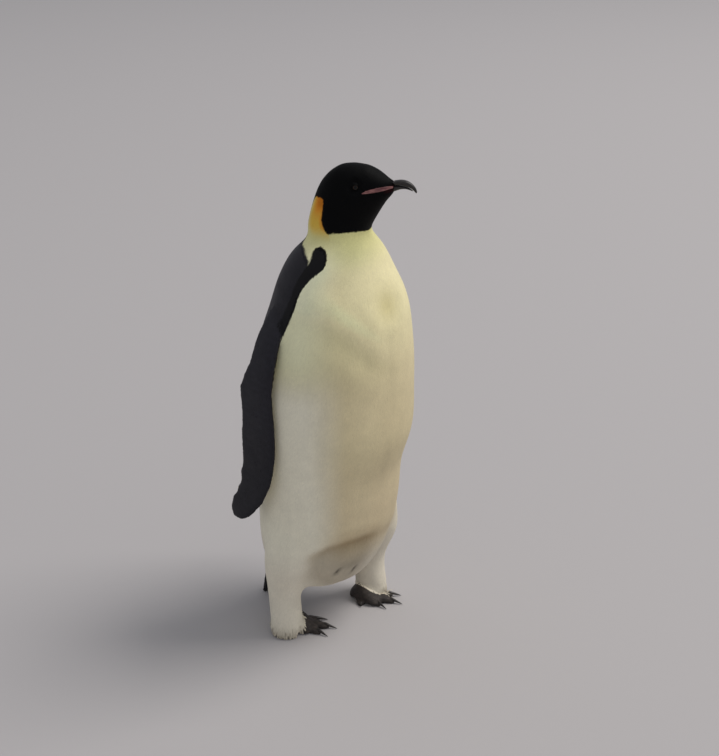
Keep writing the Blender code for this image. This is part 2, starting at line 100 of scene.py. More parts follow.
# No feather's root or tip lies this near an eye's centre and within these angles off its axis.
EYE_REACH, ROOT_CLEARANCE, TIP_CLEARANCE = 0.016, 0.90, 0.78

# Feathers: spacing of the roots in each part of the coat, in metres.
SPACING = {"front": 0.0024, "back": 0.0027, "neck": 0.0020, "head": 0.0016, "face": 0.0011,
           "flipper": 0.0019, "leg": 0.0022, "tail": 0.0034}
# Length and width of one vane where each kind is at its most typical.
BODY_VANE, NECK_VANE, HEAD_VANE = (0.0135, 0.0052), (0.0092, 0.0043), (0.0060, 0.0031)
FACE_VANE, BILL_VANE, FLIPPER_VANE = (0.0036, 0.0019), (0.0021, 0.0013), (0.0058, 0.0033)
LEG_VANE, HEM_VANE, TAIL_VANE = (0.0150, 0.0042), (0.0215, 0.0030), (0.0240, 0.0080)
VENT_VANE = (0.0170, 0.0042)
FACE_SIZE = 0.048                       # how far the small feathers reach from the bill
HEM_TOP, HEM_FOOT = 0.060, 0.030        # the legs' hem comes loose between these heights
HEM_OVER_TOES = 0.62                    # how much shorter the hem is over the toes
LEAST_DEPTH, LEAST_HEIGHT = 0.0003, 0.0004      # of the coat, and of a vane over the floor
MOST_VANES = 19500                      # ten triangles each keep a piece under 200,000
EDGE_SHARPNESS = 0.45                   # how closely a marking's edge cuts across one vane
TONE_SPREAD = 0.018                     # how much one feather's tone differs from the next
PATCH = 0.003                           # a vane's patch on the unwrap
SEED = 11


# ---------------- small helpers
def tone(red, green, blue):
    """A colour given in display values from 0 to 255, as linear light."""
    value = np.array((red, green, blue), float) / 255.0
    return np.where(value <= 0.04045, value / 12.92, ((value + 0.055) / 1.055) ** 2.4)


def ramp(value, low, high):
    """0 below `low`, 1 above `high`, and smooth between them."""
    t = np.clip((value - low) / (high - low), 0.0, 1.0)
    return t * t * (3 - 2 * t)


def bell(value, centre, width):
    """1 at the centre, falling off smoothly over the width."""
    return np.exp(-((value - centre) / width) ** 2)


def spot(across, up, centre, size):
    """1 at the centre, falling off smoothly over the size across and up."""
    return np.exp(-((across - centre[0]) / size[0]) ** 2 - ((up - centre[1]) / size[1]) ** 2)


def on_curve(values, curve):
    first, second = np.array(curve, float).T
    return np.interp(values, first, second)


def mix(first, second, share):
    share = np.asarray(share)[..., None]
    return np.asarray(first) * (1 - share) + np.asarray(second) * share


def tinted(colour, tint, share):
    return mix(colour, colour * tint, share)


def unit(vectors):
    return vectors / np.maximum(np.linalg.norm(vectors, axis=-1, keepdims=True), 1e-12)


def dot(first, second):
    return (first * second).sum(-1)


def facing(points):
    """Points with the neck's turn taken out: towards the bird's left, ahead and height."""
    height = points[:, 2]
    turn = HEAD_TURN * ramp(height, TWIST_FROM, TWIST_TO)
    x, y = points[:, 0], points[:, 1] - NECK_AXIS_Y
    side = x * np.cos(turn) + y * np.sin(turn)
    ahead = x * np.sin(turn) - y * np.cos(turn)
    return side, ahead, height


def bearing(side, ahead):
    """Degrees from straight ahead, positive to the left."""
    return np.degrees(np.arctan2(side, ahead))


def from_bill(ahead, height):
    """Distance from the place where the bill leaves the feathers."""
    return np.hypot(ahead - BILL_BASE[0], height - BILL_BASE[1])


def from_head(side, ahead, height):
    """A point or a direction's end in the turned head's own terms, in the frame's axes."""
    c, s = math.cos(HEAD_TURN), math.sin(HEAD_TURN)
    return Vector((side * c + ahead * s, NECK_AXIS_Y + side * s - ahead * c, height))


def soft_noise(points, size, seed):
    """Smooth variation from -1 to 1, with patches of about `size`."""
    rng = np.random.default_rng(seed)
    total = np.zeros(len(points))
    for _ in range(7):
        way = unit(rng.normal(size=3))
        total += np.sin(points @ way * (2 * math.pi / size) * rng.uniform(0.6, 1.4)
                        + rng.uniform(0, 2 * math.pi))
    return total / 3.5


# ---------------- meshes and arrays
FIELDS = {"FLOAT": "value", "FLOAT_VECTOR": "vector", "FLOAT_COLOR": "color"}


def read(items, field, width, kind=float):
    """A field of every item, as rows of `width` values."""
    values = np.empty(len(items) * width, kind)
    items.foreach_get(field, values)
    return values.reshape(-1, width)


def arrays_of(mesh):
    """Points and triangles of a mesh."""
    mesh.calc_loop_triangles()
    return read(mesh.vertices, "co", 3), read(mesh.loop_triangles, "vertices", 3, np.int32)


def edge_ends(mesh):
    return read(mesh.edges, "vertices", 2, np.int32)


def mesh_from(name, points, faces):
    """A mesh from arrays of points and triangles."""
    mesh = bpy.data.meshes.new(name)
    mesh.vertices.add(len(points))
    mesh.vertices.foreach_set("co", np.ascontiguousarray(points, np.float32).ravel())
    mesh.loops.add(faces.size)
    mesh.loops.foreach_set("vertex_index", np.ascontiguousarray(faces, np.int32).ravel())
    mesh.polygons.add(len(faces))
    mesh.polygons.foreach_set("loop_start", np.arange(0, faces.size, 3, dtype=np.int32))
    mesh.update(calc_edges=True)
    return mesh


def add_object(name, mesh):
    made = bpy.data.objects.new(name, mesh)
    bpy.context.scene.collection.objects.link(made)
    return made


def finished(form, name):
    """A mesh of the edited form, which is then given up."""
    mesh = bpy.data.meshes.new(name)
    form.to_mesh(mesh)
    form.free()
    return mesh


def modify(item, kind, **settings):
    modifier = item.modifiers.new(kind.lower(), kind)
    for name, value in settings.items():
        setattr(modifier, name, value)
    return modifier


def evaluated_mesh(item):
    """A new mesh of the object with its modifiers applied."""
    graph = bpy.context.evaluated_depsgraph_get()
    return bpy.data.meshes.new_from_object(item.evaluated_get(graph))


def store(mesh, name, kind, values):
    """Keeps a value for each point of the mesh."""
    data = mesh.attributes.new(name, kind, "POINT").data
    data.foreach_set(FIELDS[kind], np.ascontiguousarray(values, np.float32).ravel())


def colour_points(mesh, colours):
    full = np.ones((len(colours), 4), np.float32)
    full[:, :3] = colours
    store(mesh, "plumage", "FLOAT_COLOR", full)


# ---------------- the skin
def flesh(names, grow):
    """The named solids of the frame as one mesh, each a little larger, so that they overlap."""
    joined = bmesh.new()
    for name in names:
        form = bmesh.new()
        form.from_mesh(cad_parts[name].data)
        bmesh.ops.remove_doubles(form, verts=form.verts, dist=1e-6)
        form.normal_update()
        for vert in form.verts:
            vert.co += vert.normal * grow
        loose = finished(form, "loose")
        joined.from_mesh(loose)
        bpy.data.meshes.remove(loose)
    return finished(joined, "flesh")


def melted(names, grain, grow=OVERLAP):
    """The named solids as one closed surface of even facets."""
    item = add_object("melted", flesh(names, grow))
    modify(item, "REMESH", mode="VOXEL", voxel_size=grain)
    mesh = evaluated_mesh(item)
    bpy.data.objects.remove(item)
    return add_object("melted", mesh)


def united(base, others):
    """One closed surface out of several that overlap."""
    for other in others:
        modify(base, "BOOLEAN", operation="UNION", solver="EXACT", object=other)
    mesh = evaluated_mesh(base)
    for item in (base, *others):
        bpy.data.objects.remove(item)
    return mesh


def regions_of(points):
    """The solid that each point lies nearest to, as an index into REGIONS."""
    verts, faces, owner = [], [], []
    for index, name in enumerate(REGIONS):
        points_of, faces_of = arrays_of(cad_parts[name].data)
        faces += (faces_of + len(verts)).tolist()
        verts += points_of.tolist()
        owner += [index] * len(faces_of)
    tree = BVHTree.FromPolygons(verts, faces)
    return np.array([owner[tree.find_nearest(Vector(p))[2]] for p in points])


class Neighbours:
    """Means over the points that share an edge with each point of a mesh."""

    def __init__(self, mesh):
        self.a, self.b = edge_ends(mesh).T
        self.count = len(mesh.vertices)
        both = np.concatenate([self.a, self.b])
        self.degree = np.maximum(np.bincount(both, minlength=self.count), 1)

    def mean(self, values):
        columns = values.reshape(self.count, -1)
        total = np.empty_like(columns)
        for k in range(columns.shape[1]):
            total[:, k] = (
                np.bincount(self.a, weights=columns[self.b, k], minlength=self.count)
                + np.bincount(self.b, weights=columns[self.a, k], minlength=self.count))
        return (total / self.degree[:, None]).reshape(values.shape)

    def spread(self, values, rounds):
        for _ in range(rounds):
            values = 0.5 * values + 0.5 * self.mean(values)
        return values


def normals_of(points, triangles):
    a, b, c = (points[triangles[:, k]] for k in range(3))
    face = np.cross(b - a, c - a)
    total = np.zeros_like(points)
    for k in range(3):
        for axis in range(3):
            total[:, axis] += np.bincount(
                triangles[:, k], weights=face[:, axis], minlength=len(points))
    return unit(total)


def fold_line(points):
    """How far each point lies below the fold where the belly hangs over the vent."""
    side, ahead, height = facing(points)
    return on_curve(bearing(side, ahead), FOLD_HEIGHT) - height


def vent_share(points):
    """1 on the shaded plumage under the belly's fold and between the legs, 0 elsewhere."""
    side, ahead, _ = facing(points)
    return (ramp(fold_line(points), -0.006, 0.022) * ramp(ahead, -0.02, 0.03)
            * ramp(side, -0.143, -0.110) * (1 - 0.7 * ramp(side, -0.040, 0.010))
            * ramp(side, 0.125, 0.090))


def soft_folds(points, region):
    """How far the plumage swells or sinks in the soft folds of breast, belly and thighs."""
    side, ahead, height = facing(points)
    angle = bearing(side, ahead)
    above, below = height - on_curve(angle, BREAST_FOLD), fold_line(points)
    under_fold = bell(above, -0.044, 0.032) * ramp(angle, 8, -34)
    over_fold = bell(above, 0.050, 0.034) * ramp(angle, -30, -50)
    hollow = spot(side, height, HOLLOW, HOLLOW_SIZE)
    ring = bell(np.hypot(side - HOLLOW[0], height - HOLLOW[1]), RING_RADIUS, RING_WIDTH)
    slanted = side - CREASE_SLANT * (height - CREASE[1])
    crease = spot(slanted, height, CREASE, CREASE_SIZE)
    belly = bell(below, -0.020, 0.016) * ramp(angle, -80, -55) * ramp(angle, 25, -15)
    pocket = sum(spot(side, height, place, POCKET_SIZE) for place in VENT_POCKETS)
    vent = vent_share(points) * (VENT_DEPTH - VENT_SHALLOWING * ramp(below, 0.014, 0.080))
    vent = vent + POCKET_DEPTH * pocket
    rise = (RING_RISE * ring + HOLLOW_RISE * hollow + UNDER_FOLD_RISE * under_fold
            + OVER_FOLD_RISE * over_fold + CREASE_RISE * crease + BELLY_RISE * belly)
    on_trunk = np.isin(region, (TRUNK, NECK))
    return on_trunk * (ramp(ahead, 0.0, 0.05) * rise - vent * ramp(ahead, -0.02, 0.03))


def scutes(points, normals, region):
    """Raised plates across the toes and small grains elsewhere on the bare feet."""
    lift = np.zeros(len(points))
    for index in np.flatnonzero(np.isin(region, FEET)):
        point = Vector(points[index])
        upper = max(float(normals[index, 2]), 0.0)
        near = noise.voronoi(point * SCUTES, distance_metric="DISTANCE")[0]
        plate = min(near[1] - near[0], 0.5)
        lift[index] = (SCUTE_HEIGHT * (plate - 0.25) * (0.35 + upper)
                       + GRAIN_HEIGHT * noise.noise(point * GRAINS))
    return lift


def round_eye(points, side):
    """Offset and distance of each point from an eye's centre, and its angle off the axis."""
    centre, _, axis = eye_frame(side)
    away = points - np.array(centre)
    reach = np.linalg.norm(away, axis=1)
    return away, reach, np.arccos(np.clip(away @ np.array(axis) / reach, -1, 1))


def opened_for_eyes(points):
    """The skin sunk under each eyeball, level with the lids round it."""
    for side in SIDES:
        centre, radius, _ = eye_frame(side)
        away, reach, angle = round_eye(points, side)
        limit = radius * on_curve(angle, EYE_OPENING)
        near = (angle < EYE_OPENING[-1][0]) & (reach > limit) & (reach < 2.2 * radius)
        share = np.where(near, limit / reach, 1.0)[:, None]
        points = np.array(centre) + away * share
    return points


def clear_of_eyes(roots, ways, length):
    """Which feathers neither grow nor reach over an eye."""
    clear = np.ones(len(roots), bool)
    for side in SIDES:
        for ends, clearance in ((roots, ROOT_CLEARANCE),
                                (roots + ways * length[:, None], TIP_CLEARANCE)):
            _, reach, angle = round_eye(ends, side)
            clear &= (reach >= EYE_REACH) | (angle >= clearance)
    return clear


def depth_of_coat(points, region, around):
    """How deep the skin lies under the outline, least at the bill."""
    _, ahead, height = facing(points)
    depth = COAT_DEPTH[region]
    at_bill = 0.25 + 0.75 * ramp(from_bill(ahead, height), 0.010, 0.060)
    return around.spread(np.where(region == HEAD, depth * at_bill, depth), 14)


def smoothed(points, triangles, region, around):
    """The solids' facets and joints smoothed away, with the large forms kept at their size."""
    _, ahead, height = facing(points)
    face = ramp(from_bill(ahead, height), 0.120, 0.060) * (region == HEAD)
    outline = BVHTree.FromPolygons(points.tolist(), triangles.tolist())
    weight = around.spread(SMOOTHING[region], 4)[:, None]
    for _ in range(SMOOTH_ROUNDS):
        points = points + weight * (around.mean(points) - points)
    soft = SOFTNESS[region] * (1 - face)
    soft = np.minimum(around.spread(soft, 8), 1.4 * soft)[:, None]
    for _ in range(SOFT_ROUNDS):
        points = points + soft * (around.mean(points) - points)
    normals = normals_of(points, triangles)
    shrunk = np.array([dot(np.array(outline.find_nearest(Vector(p))[0]) - p, n)
                       for p, n in zip(points, normals)])
    shrunk = around.spread(np.clip(shrunk, -0.004, 0.006), 60) * ramp(soft[:, 0], 0.0, 0.1)
    return points + normals * shrunk[:, None]


def make_skin():
    """One closed skin: body, head, flippers and feet united, smoothed and drawn in."""
    body = melted(("trunk", "neck", "leg_left", "leg_right"), BODY_GRAIN)
    fine = melted(("head", "tail", "eye_left", "eye_right"), HEAD_GRAIN)
    flippers = [melted((REGIONS[part],), FLIPPER_GRAIN, FLIPPER_OVERLAP) for part in FLIPPERS]
    feet = [melted((REGIONS[part],), FOOT_GRAIN) for part in FEET]
    mesh = united(body, [fine, *flippers, *feet])

    points, triangles = arrays_of(mesh)
    region = regions_of(points)
    around = Neighbours(mesh)
    depth = depth_of_coat(points, region, around)
    points = smoothed(points, triangles, region, around)
    normals = normals_of(points, triangles)
    feathered = around.spread((~np.isin(region, FLIPPERS + FEET)).astype(float), 6)
    folds = around.spread(soft_folds(points, region), 5)
    lift = folds * feathered - depth + np.where(np.isin(region, FEET), 0.0002, 0.0)
    lift += scutes(points, normals, region)
    points = opened_for_eyes(points + normals * lift[:, None])
    points[:, 2] = np.maximum(points[:, 2], 0.0)
    mesh.vertices.foreach_set("co", points.astype(np.float32).ravel())
    mesh.update()
    return mesh, points, triangles, region, depth


# ---------------- markings
BLACK = tone(5, 5, 6)
BAND = tone(8, 7, 10)
SLATE = tone(41, 39, 46)
SLATE_DEEP = tone(34, 33, 39)
FLIPPER_DARK = tone(38, 37, 44)
CREAM = tone(230, 216, 175)
CREAM_LOW = tone(222, 206, 170)
FLANK = tone(248, 243, 221)
CHEST = tone(248, 238, 190)
CHEST_SIDE = tone(255, 252, 214)
THROAT = tone(232, 227, 162)
ORANGE = tone(232, 142, 40)
AMBER = tone(236, 196, 84)
RUST = tone(120, 66, 20)
TAIL_DARK = tone(38, 36, 40)
FOOT_DARK = tone(44, 37, 33)
LEG_PALE = tone(238, 231, 212)
HEM_LOW_TONE = tone(150, 136, 112)
GAPE_RED = tone(38, 9, 13)
MANTLE_TONE = 0.10                      # neck darker than this wears the back's finish

# The tones of the pale front in turn: heights, then angles from ahead, over which each comes in.
ALL_ROUND = (-2, -1)
PALE_LAYERS = (
    (CREAM, (0.28, 0.50), ALL_ROUND), (FLANK, (0.70, 0.56), (42, 76)),
    (CHEST, (0.60, 0.76), ALL_ROUND), (CHEST_SIDE, (0.58, 0.68), (48, 82)),
    (THROAT, (0.83, 0.90), ALL_ROUND), (LEG_PALE, (0.26, 0.16), ALL_ROUND))
BRIGHTEST = 0.96
RIDGE_HIGHLIGHT_TINT = 1.09                       # painted highlight on the crest of the breast
SUNNY_TINT = (0.91, 0.90, 0.90)         # the belly's own middle and left, deeper cream
# Tints: painted shade in the hollow and under the fold of the breast, at the side of the throat,
# on the vent and under the belly's fold; random tone in patches all over; painted shade low on
# the vent and in its pockets.
HOLLOW_SHADE_TINT, UNDER_BREAST_SHADE_TINT, THROAT_SHADE_TINT = (0.84, 0.82, 0.70), (0.93, 0.94, 0.91), (0.88, 0.91, 0.87)
VENT_SHADE_TINT, FOLD_SHADOW_TINT = (0.66, 0.63, 0.59), (0.86, 0.81, 0.76)
PATCH_TINT, VENT_LOW_SHADE_TINT, POCKET_SHADOW_TINT = 0.97, 0.80, 0.30
THROAT_SHADE, THROAT_SHADE_SIZE = (-48, 0.862), (26, 0.030)          # painted shade at the throat's side: angle and height, and size
# Painted shade low on the vent between the legs: a place to the left and a height, and its size.
VENT_LOW_SHADE, VENT_LOW_SHADE_SIZE = (-0.050, 0.180), (0.028, 0.016)
# Size of the painted shadow in each pocket of the vent.
POCKET_SHADOW_SIZE = (0.0055, 0.011)

# Where the black edge of the back meets the pale front: height and angle from straight ahead.
BAND_OUTER = ((0.10, 152), (0.22, 146), (0.30, 136), (0.40, 119), (0.50, 109), (0.60, 101),
              (0.68, 98), (0.74, 91), (0.77, 88), (0.80, 86), (0.82, 83), (0.84, 76), (0.85, 76),
              (0.864, 80), (0.872, 86), (0.877, 97))
# Its inner edge, where the slate of the back begins.
BAND_INNER = ((0.10, 158), (0.22, 153), (0.30, 144), (0.40, 129), (0.50, 119), (0.60, 110),
              (0.68, 105), (0.76, 98), (0.785, 95), (0.82, 97), (0.85, 98), (0.865, 105),
              (0.872, 105), (0.877, 97))
BAND_TOP = 0.877
# The slate mantle's own front edge above the band, where a pale wedge parts the two.
WEDGE_FOOT = 0.845
MANTLE_EDGE = ((WEDGE_FOOT, 98), (0.850, 100), (0.856, 107), (0.866, 123), (0.870, 148),
               (0.885, 157), (0.90, 160), (0.93, 163))
# The black hood's lower edge round the throat: angle and height.
BIB_EDGE = ((0, 0.901), (20, 0.902), (36, 0.904), (55, 0.904), (75, 0.902), (90, 0.8995))
# The hood's rear edge along the ear patch: height and angle.
EAR_EDGE = ((0.89, 86), (0.90, 90), (0.906, 95), (0.912, 99), (0.926, 105), (0.954, 105.5),
            (0.963, 107), (0.968, 118))
# The top of the ear patch: angle and height.
PATCH_TOP = ((0, 0.9655), (138, 0.9655), (148, 0.962), (156, 0.951), (162, 0.937), (168, 0.92))
# The line of the gape along the cheek: ahead and height. Its feathers are tinged dark red.
GAPE_LINE = ((0.086, 0.981), (0.103, 0.985), (0.123, 0.988), (0.144, 0.991))


def pale_plumage(points):
    """The pale front: yellow under the hood, cream on the breast, nearly white below; with
    painted shade in its hollows and folds and a painted highlight along the breast's crest.
    """
    side, ahead, height = facing(points)
    turned, in_front = bearing(side, ahead), ahead > 0
    pale = CREAM_LOW
    for colour, heights, angles in PALE_LAYERS:
        pale = mix(pale, colour, ramp(height, *heights) * ramp(np.abs(turned), *angles))
    pale = tinted(pale, SUNNY_TINT, ramp(turned, -35, -5) * ramp(height, 0.62, 0.52))
    # Painted shade, darker and more tan, in the hollow on the right of the breast.
    hollow = spot(side, height, HOLLOW, HOLLOW_SIZE)
    pale = tinted(pale, HOLLOW_SHADE_TINT, 0.85 * hollow * in_front)
    above, below = height - on_curve(turned, BREAST_FOLD), fold_line(points)
    # Painted shade below the soft step across the breast.
    under_breast_shade = ramp(above, -0.005, -0.045) * ramp(height, 0.56, 0.66) * ramp(turned, 20, -30)
    pale = tinted(pale, UNDER_BREAST_SHADE_TINT, under_breast_shade)
    # Painted highlight along the crest of the breast, capped at the brightest tone.
    ridge = bell(above, 0.014, 0.020) * ramp(turned, -72, -48) * ramp(turned, 2, -18)
    pale = np.minimum(tinted(pale, RIDGE_HIGHLIGHT_TINT, ridge), BRIGHTEST)
    # Painted greenish shade at the side of the throat.
    pale = tinted(pale, THROAT_SHADE_TINT, spot(turned, height, THROAT_SHADE, THROAT_SHADE_SIZE))
    patches = soft_noise(points * (1, 1, 0.25), 0.050, 5)
    pale = tinted(pale, PATCH_TINT, ramp(patches, 0.1, 1.0))
    # Painted shade on the vent, under the belly's fold and between the legs.
    vent = vent_share(points) * ramp(height, 0.08, 0.12)
    # Painted shadow just under the belly's fold.
    fold_shadow = bell(below, -0.002, 0.018) * ramp(turned, -75, -55) * ramp(turned, 8, -14)
    pale = tinted(pale, FOLD_SHADOW_TINT, 0.3 * fold_shadow * in_front)
    pale = tinted(pale, VENT_SHADE_TINT, vent)
    # Painted shadow as a darker line across the top of the vent, under the fold.
    pale = tinted(pale, FOLD_SHADOW_TINT, vent * bell(below, 0.014, 0.017))
    # Painted shade low on the vent, between the legs.
    pale = tinted(pale, VENT_LOW_SHADE_TINT, spot(side, height, VENT_LOW_SHADE, VENT_LOW_SHADE_SIZE) * in_front)
    # Painted shadow in the two small pockets of the vent.
    for place in VENT_POCKETS:
        pocket_shadow = spot(side, height, place, POCKET_SHADOW_SIZE) * in_front
        pale = tinted(pale, POCKET_SHADOW_TINT, pocket_shadow)
    return pale


def ear_patch(height, behind):
    """Orange behind the cheek, amber below it and cream towards the nape."""
    patch = mix(THROAT, AMBER, ramp(height, 0.880, 0.915) * ramp(behind, 62, 30))
    deep = ramp(height, 0.915, 0.955) * ramp(behind, 44, 16)
    rim = ramp(height, 0.898, 0.915) * ramp(behind, 12, 4)
    patch = mix(patch, ORANGE, np.maximum(deep, 0.6 * rim))
    patch = mix(patch, RUST, 0.30 * ramp(height, 0.940, 0.956) * ramp(behind, 30, 8))
    return mix(patch, RUST, ramp(behind, 3.0, 0.0) * ramp(height, 0.903, 0.92) * 0.8)


def add_mantle(colour, points, angle, frayed, height):
    """Slate mantle and back, with the black edge against the pale front."""
    outer, inner = on_curve(height, BAND_OUTER), on_curve(height, BAND_INNER)
    under_band = inner - 6.0 * ramp(height, WEDGE_FOOT, WEDGE_FOOT - 0.012)
    edge = np.where(height < WEDGE_FOOT, under_band, on_curve(height, MANTLE_EDGE))
    softness = 2.0 + 14.0 * ramp(height, WEDGE_FOOT, WEDGE_FOOT + 0.030)
    slate = mix(SLATE_DEEP, SLATE, ramp(angle, 100, 135) * ramp(height, 0.05, 0.30))
    clouds = ramp(soft_noise(points, 0.02, 8), -0.2, 1.0)
    slate = tinted(slate, 1.35, clouds * (0.6 - 0.5 * ramp(height, 0.74, 0.82)))
    colour = mix(colour, slate, ramp(frayed, edge - 0.3 * softness, edge + 0.7 * softness))
    in_band = ramp(frayed, outer - 0.5, outer + 0.5) * ramp(frayed, inner + 2.0, inner - 1.0)
    return mix(colour, BAND, (height < BAND_TOP) * in_band)


def add_hood(colour, fray, angle, frayed, ahead, height):
    """The black hood, which runs down the nape as a narrow stripe, and the red of the gape."""
    frayed_height = height + 0.0005 * fray
    bib, ear = on_curve(angle, BIB_EDGE), on_curve(height, EAR_EDGE)
    top = on_curve(frayed, PATCH_TOP)
    over_bib = ramp(frayed_height, bib - 0.0006, bib + 0.0006)
    before_ear = ramp(frayed, ear + 0.8, ear - 0.8)
    crown = ramp(frayed_height, top - 0.0015, top + 0.0015)
    nape = ramp(frayed, 158, 164) * ramp(height, 0.885, 0.925)
    hood = np.maximum(np.maximum(over_bib * before_ear, crown), nape)
    hood = hood * ramp(height, 0.885, 0.895)
    from_gape = np.abs(height - on_curve(ahead, GAPE_LINE))
    gape = ramp(from_gape, 0.0085, 0.0050) * ramp(ahead, 0.100, 0.112)
    return mix(mix(colour, BLACK, hood), GAPE_RED, gape * hood)


def flipper_rims():
    """The foremost and rearmost points of a flipper in steps down its length."""
    points, _ = arrays_of(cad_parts["flipper_right"].data)
    steps = np.linspace(points[:, 2].min() + 0.004, points[:, 2].max() - 0.004, 24)
    half = steps[1] - steps[0]
    rows = [points[np.abs(points[:, 2] - z) < half][:, 1] for z in steps]
    return steps, np.array([[row.min() for row in rows], [row.max() for row in rows]])


RIM_HEIGHTS, RIM_EDGES = flipper_rims()


def flipper_tones(points, outward):
    """Dark outside, white inside with a dark leading edge and tip."""
    height = points[:, 2]
    front, rear = (np.interp(height, RIM_HEIGHTS, edge) for edge in RIM_EDGES)
    lead = ramp(points[:, 1], front + 0.006, front + 0.012)
    trail = ramp(points[:, 1], rear - 0.0045, rear - 0.0075)
    inner_face = ramp(-outward, 0.25, 0.55) * ramp(height, 0.300, 0.345) * lead * trail
    dark = mix(FLIPPER_DARK, FLIPPER_DARK * 0.72, ramp(height, 0.60, 0.40))
    dark = tinted(dark, 1.3, ramp(soft_noise(points, 0.018, 9), -0.2, 1.0) * 0.6)
    return mix(dark, LEG_PALE, inner_face)


def markings(points, region, normals):
    """The plumage's colour at each point, for skin and feathers alike."""
    side, ahead, height = facing(points)
    angle = np.abs(bearing(side, ahead))
    fray = soft_noise(points, 0.007, 3)
    frayed = angle + 0.35 * fray
    behind = angle - on_curve(height, EAR_EDGE)
    at_ear = ramp(height, 0.872, 0.900) * ramp(behind, -5, -1)
    colour = mix(pale_plumage(points), ear_patch(height, behind), at_ear)
    colour = add_mantle(colour, points, angle, frayed, height)
    colour = add_hood(colour, fray, angle, frayed, ahead, height)
    for flipper, sign in zip(FLIPPERS, (1, -1)):
        tones = flipper_tones(points, sign * normals[:, 0])
        colour = np.where((region == flipper)[:, None], tones, colour)
    # The legs' plumage turns darker and browner over the last few centimetres above the floor.
    low_on_leg = ramp(height, 0.030, 0.004) * 0.45 * np.isin(region, LEGS)
    colour = mix(colour, HEM_LOW_TONE, low_on_leg)
    colour = np.where((region == TAIL)[:, None], TAIL_DARK, colour)
    feet = mix(FOOT_DARK, FOOT_DARK * 1.7, ramp(soft_noise(points, 0.012, 6), -0.5, 1.0))
    return np.where(np.isin(region, FEET)[:, None], feet, colour)


# ---------------- lie of the coat
DOWN, ALONG_TAIL = (0.0, 0.30, -1.0), (0.0, 0.36, -1.0)
HEM_FLARE = 0.16
# How far the feathers of a flipper point outwards and backwards, by height.
BLADE_OUT = ((0.45, -0.02), (0.75, 0.25))
BLADE_BACK = ((0.28, 0.87), (0.36, 0.54), (0.45, 0.30), (0.60, 0.24), (0.75, 0.32))


def middle_of(region):
    low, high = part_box(REGIONS[region])
    return (np.array(low) + np.array(high)) / 2


def hem_share(height, region):
    """1 on the loose hem of the legs, 0 elsewhere."""
    return ramp(height, HEM_TOP, HEM_FOOT) * np.isin(region, LEGS)


def lie(points, normals, region):
    """The direction in which each feather points, along the skin."""
    side, ahead, height = facing(points)
    c, s = math.cos(HEAD_TURN), math.sin(HEAD_TURN)
    off_bill = ahead - BILL_BASE[0] + 0.012
    back = np.stack([side * c * 0.9 + off_bill * s, side * s * 0.9 - off_bill * c,
                     height - BILL_BASE[1]], axis=1)
    on_head = ramp(height + 0.35 * ahead, 0.915, 0.985)
    way = mix(unit(np.array(DOWN)), unit(back), on_head)
    for flipper, sign in zip(FLIPPERS, (1, -1)):
        blade = np.stack([sign * on_curve(height, BLADE_OUT), on_curve(height, BLADE_BACK),
                          -np.ones(len(points))], axis=1)
        way = np.where((region == flipper)[:, None], blade, way)
    hem = hem_share(height, region)
    for leg in LEGS:
        out = (points - middle_of(leg)) * (1, 1, 0)
        flared = unit(out) * HEM_FLARE - (0, 0, 1)
        way = mix(way, flared, hem * (region == leg))
    way = np.where((region == TAIL)[:, None], ALONG_TAIL, way)
    off = dot(way, normals)
    off = off * (1 - hem) + np.minimum(off, 0.0) * hem
    return unit(way - normals * off[:, None])


# ---------------- scattering roots
def scatter_group():
    """A geometry node group that puts evenly spaced points on the faces of a mesh."""
    group = bpy.data.node_groups.new("even_points", "GeometryNodeTree")
    for name, kind in (("Geometry", "Geometry"), ("Spacing", "Float"), ("Density", "Float"),
                       ("Seed", "Int")):
        group.interface.new_socket(name, in_out="INPUT", socket_type="NodeSocket" + kind)
    group.interface.new_socket("Geometry", in_out="OUTPUT", socket_type="NodeSocketGeometry")
    source, points, verts, sink = (group.nodes.new(kind) for kind in (
        "NodeGroupInput", "GeometryNodeDistributePointsOnFaces",
        "GeometryNodePointsToVertices", "NodeGroupOutput"))
    points.distribute_method = "POISSON"
    for giver, output, taker, entry in (
            (source, "Geometry", points, "Mesh"), (source, "Spacing", points, "Distance Min"),
            (source, "Density", points, "Density Max"), (source, "Seed", points, "Seed"),
            (points, "Points", verts, "Points"), (verts, "Mesh", sink, "Geometry")):
        group.links.new(giver.outputs[output], taker.inputs[entry])
    return group


def scatter(points, triangles, normals, depth, spacing, seed, group):
    """Roots about `spacing` apart on these triangles, with the skin's normal and depth there."""
    used, index = np.unique(triangles, return_inverse=True)
    mesh = mesh_from("patch", points[used], index.reshape(-1, 3))
    store(mesh, "skin_normal", "FLOAT_VECTOR", normals[used])
    store(mesh, "skin_depth", "FLOAT", depth[used])
    item = add_object("patch", mesh)
    modifier = modify(item, "NODES", node_group=group)
    names = {s.name: s.identifier for s in group.interface.items_tree if s.in_out == "INPUT"}
    modifier[names["Spacing"]] = spacing
    modifier[names["Density"]] = 4.0 / spacing ** 2
    modifier[names["Seed"]] = seed
    made = evaluated_mesh(item)
    roots = read(made.vertices, "co", 3)
    found = unit(read(made.attributes["skin_normal"].data, "vector", 3))
    deep = read(made.attributes["skin_depth"].data, "value", 1)[:, 0]
    bpy.data.objects.remove(item)
    bpy.data.meshes.remove(made)
    return roots, found, deep


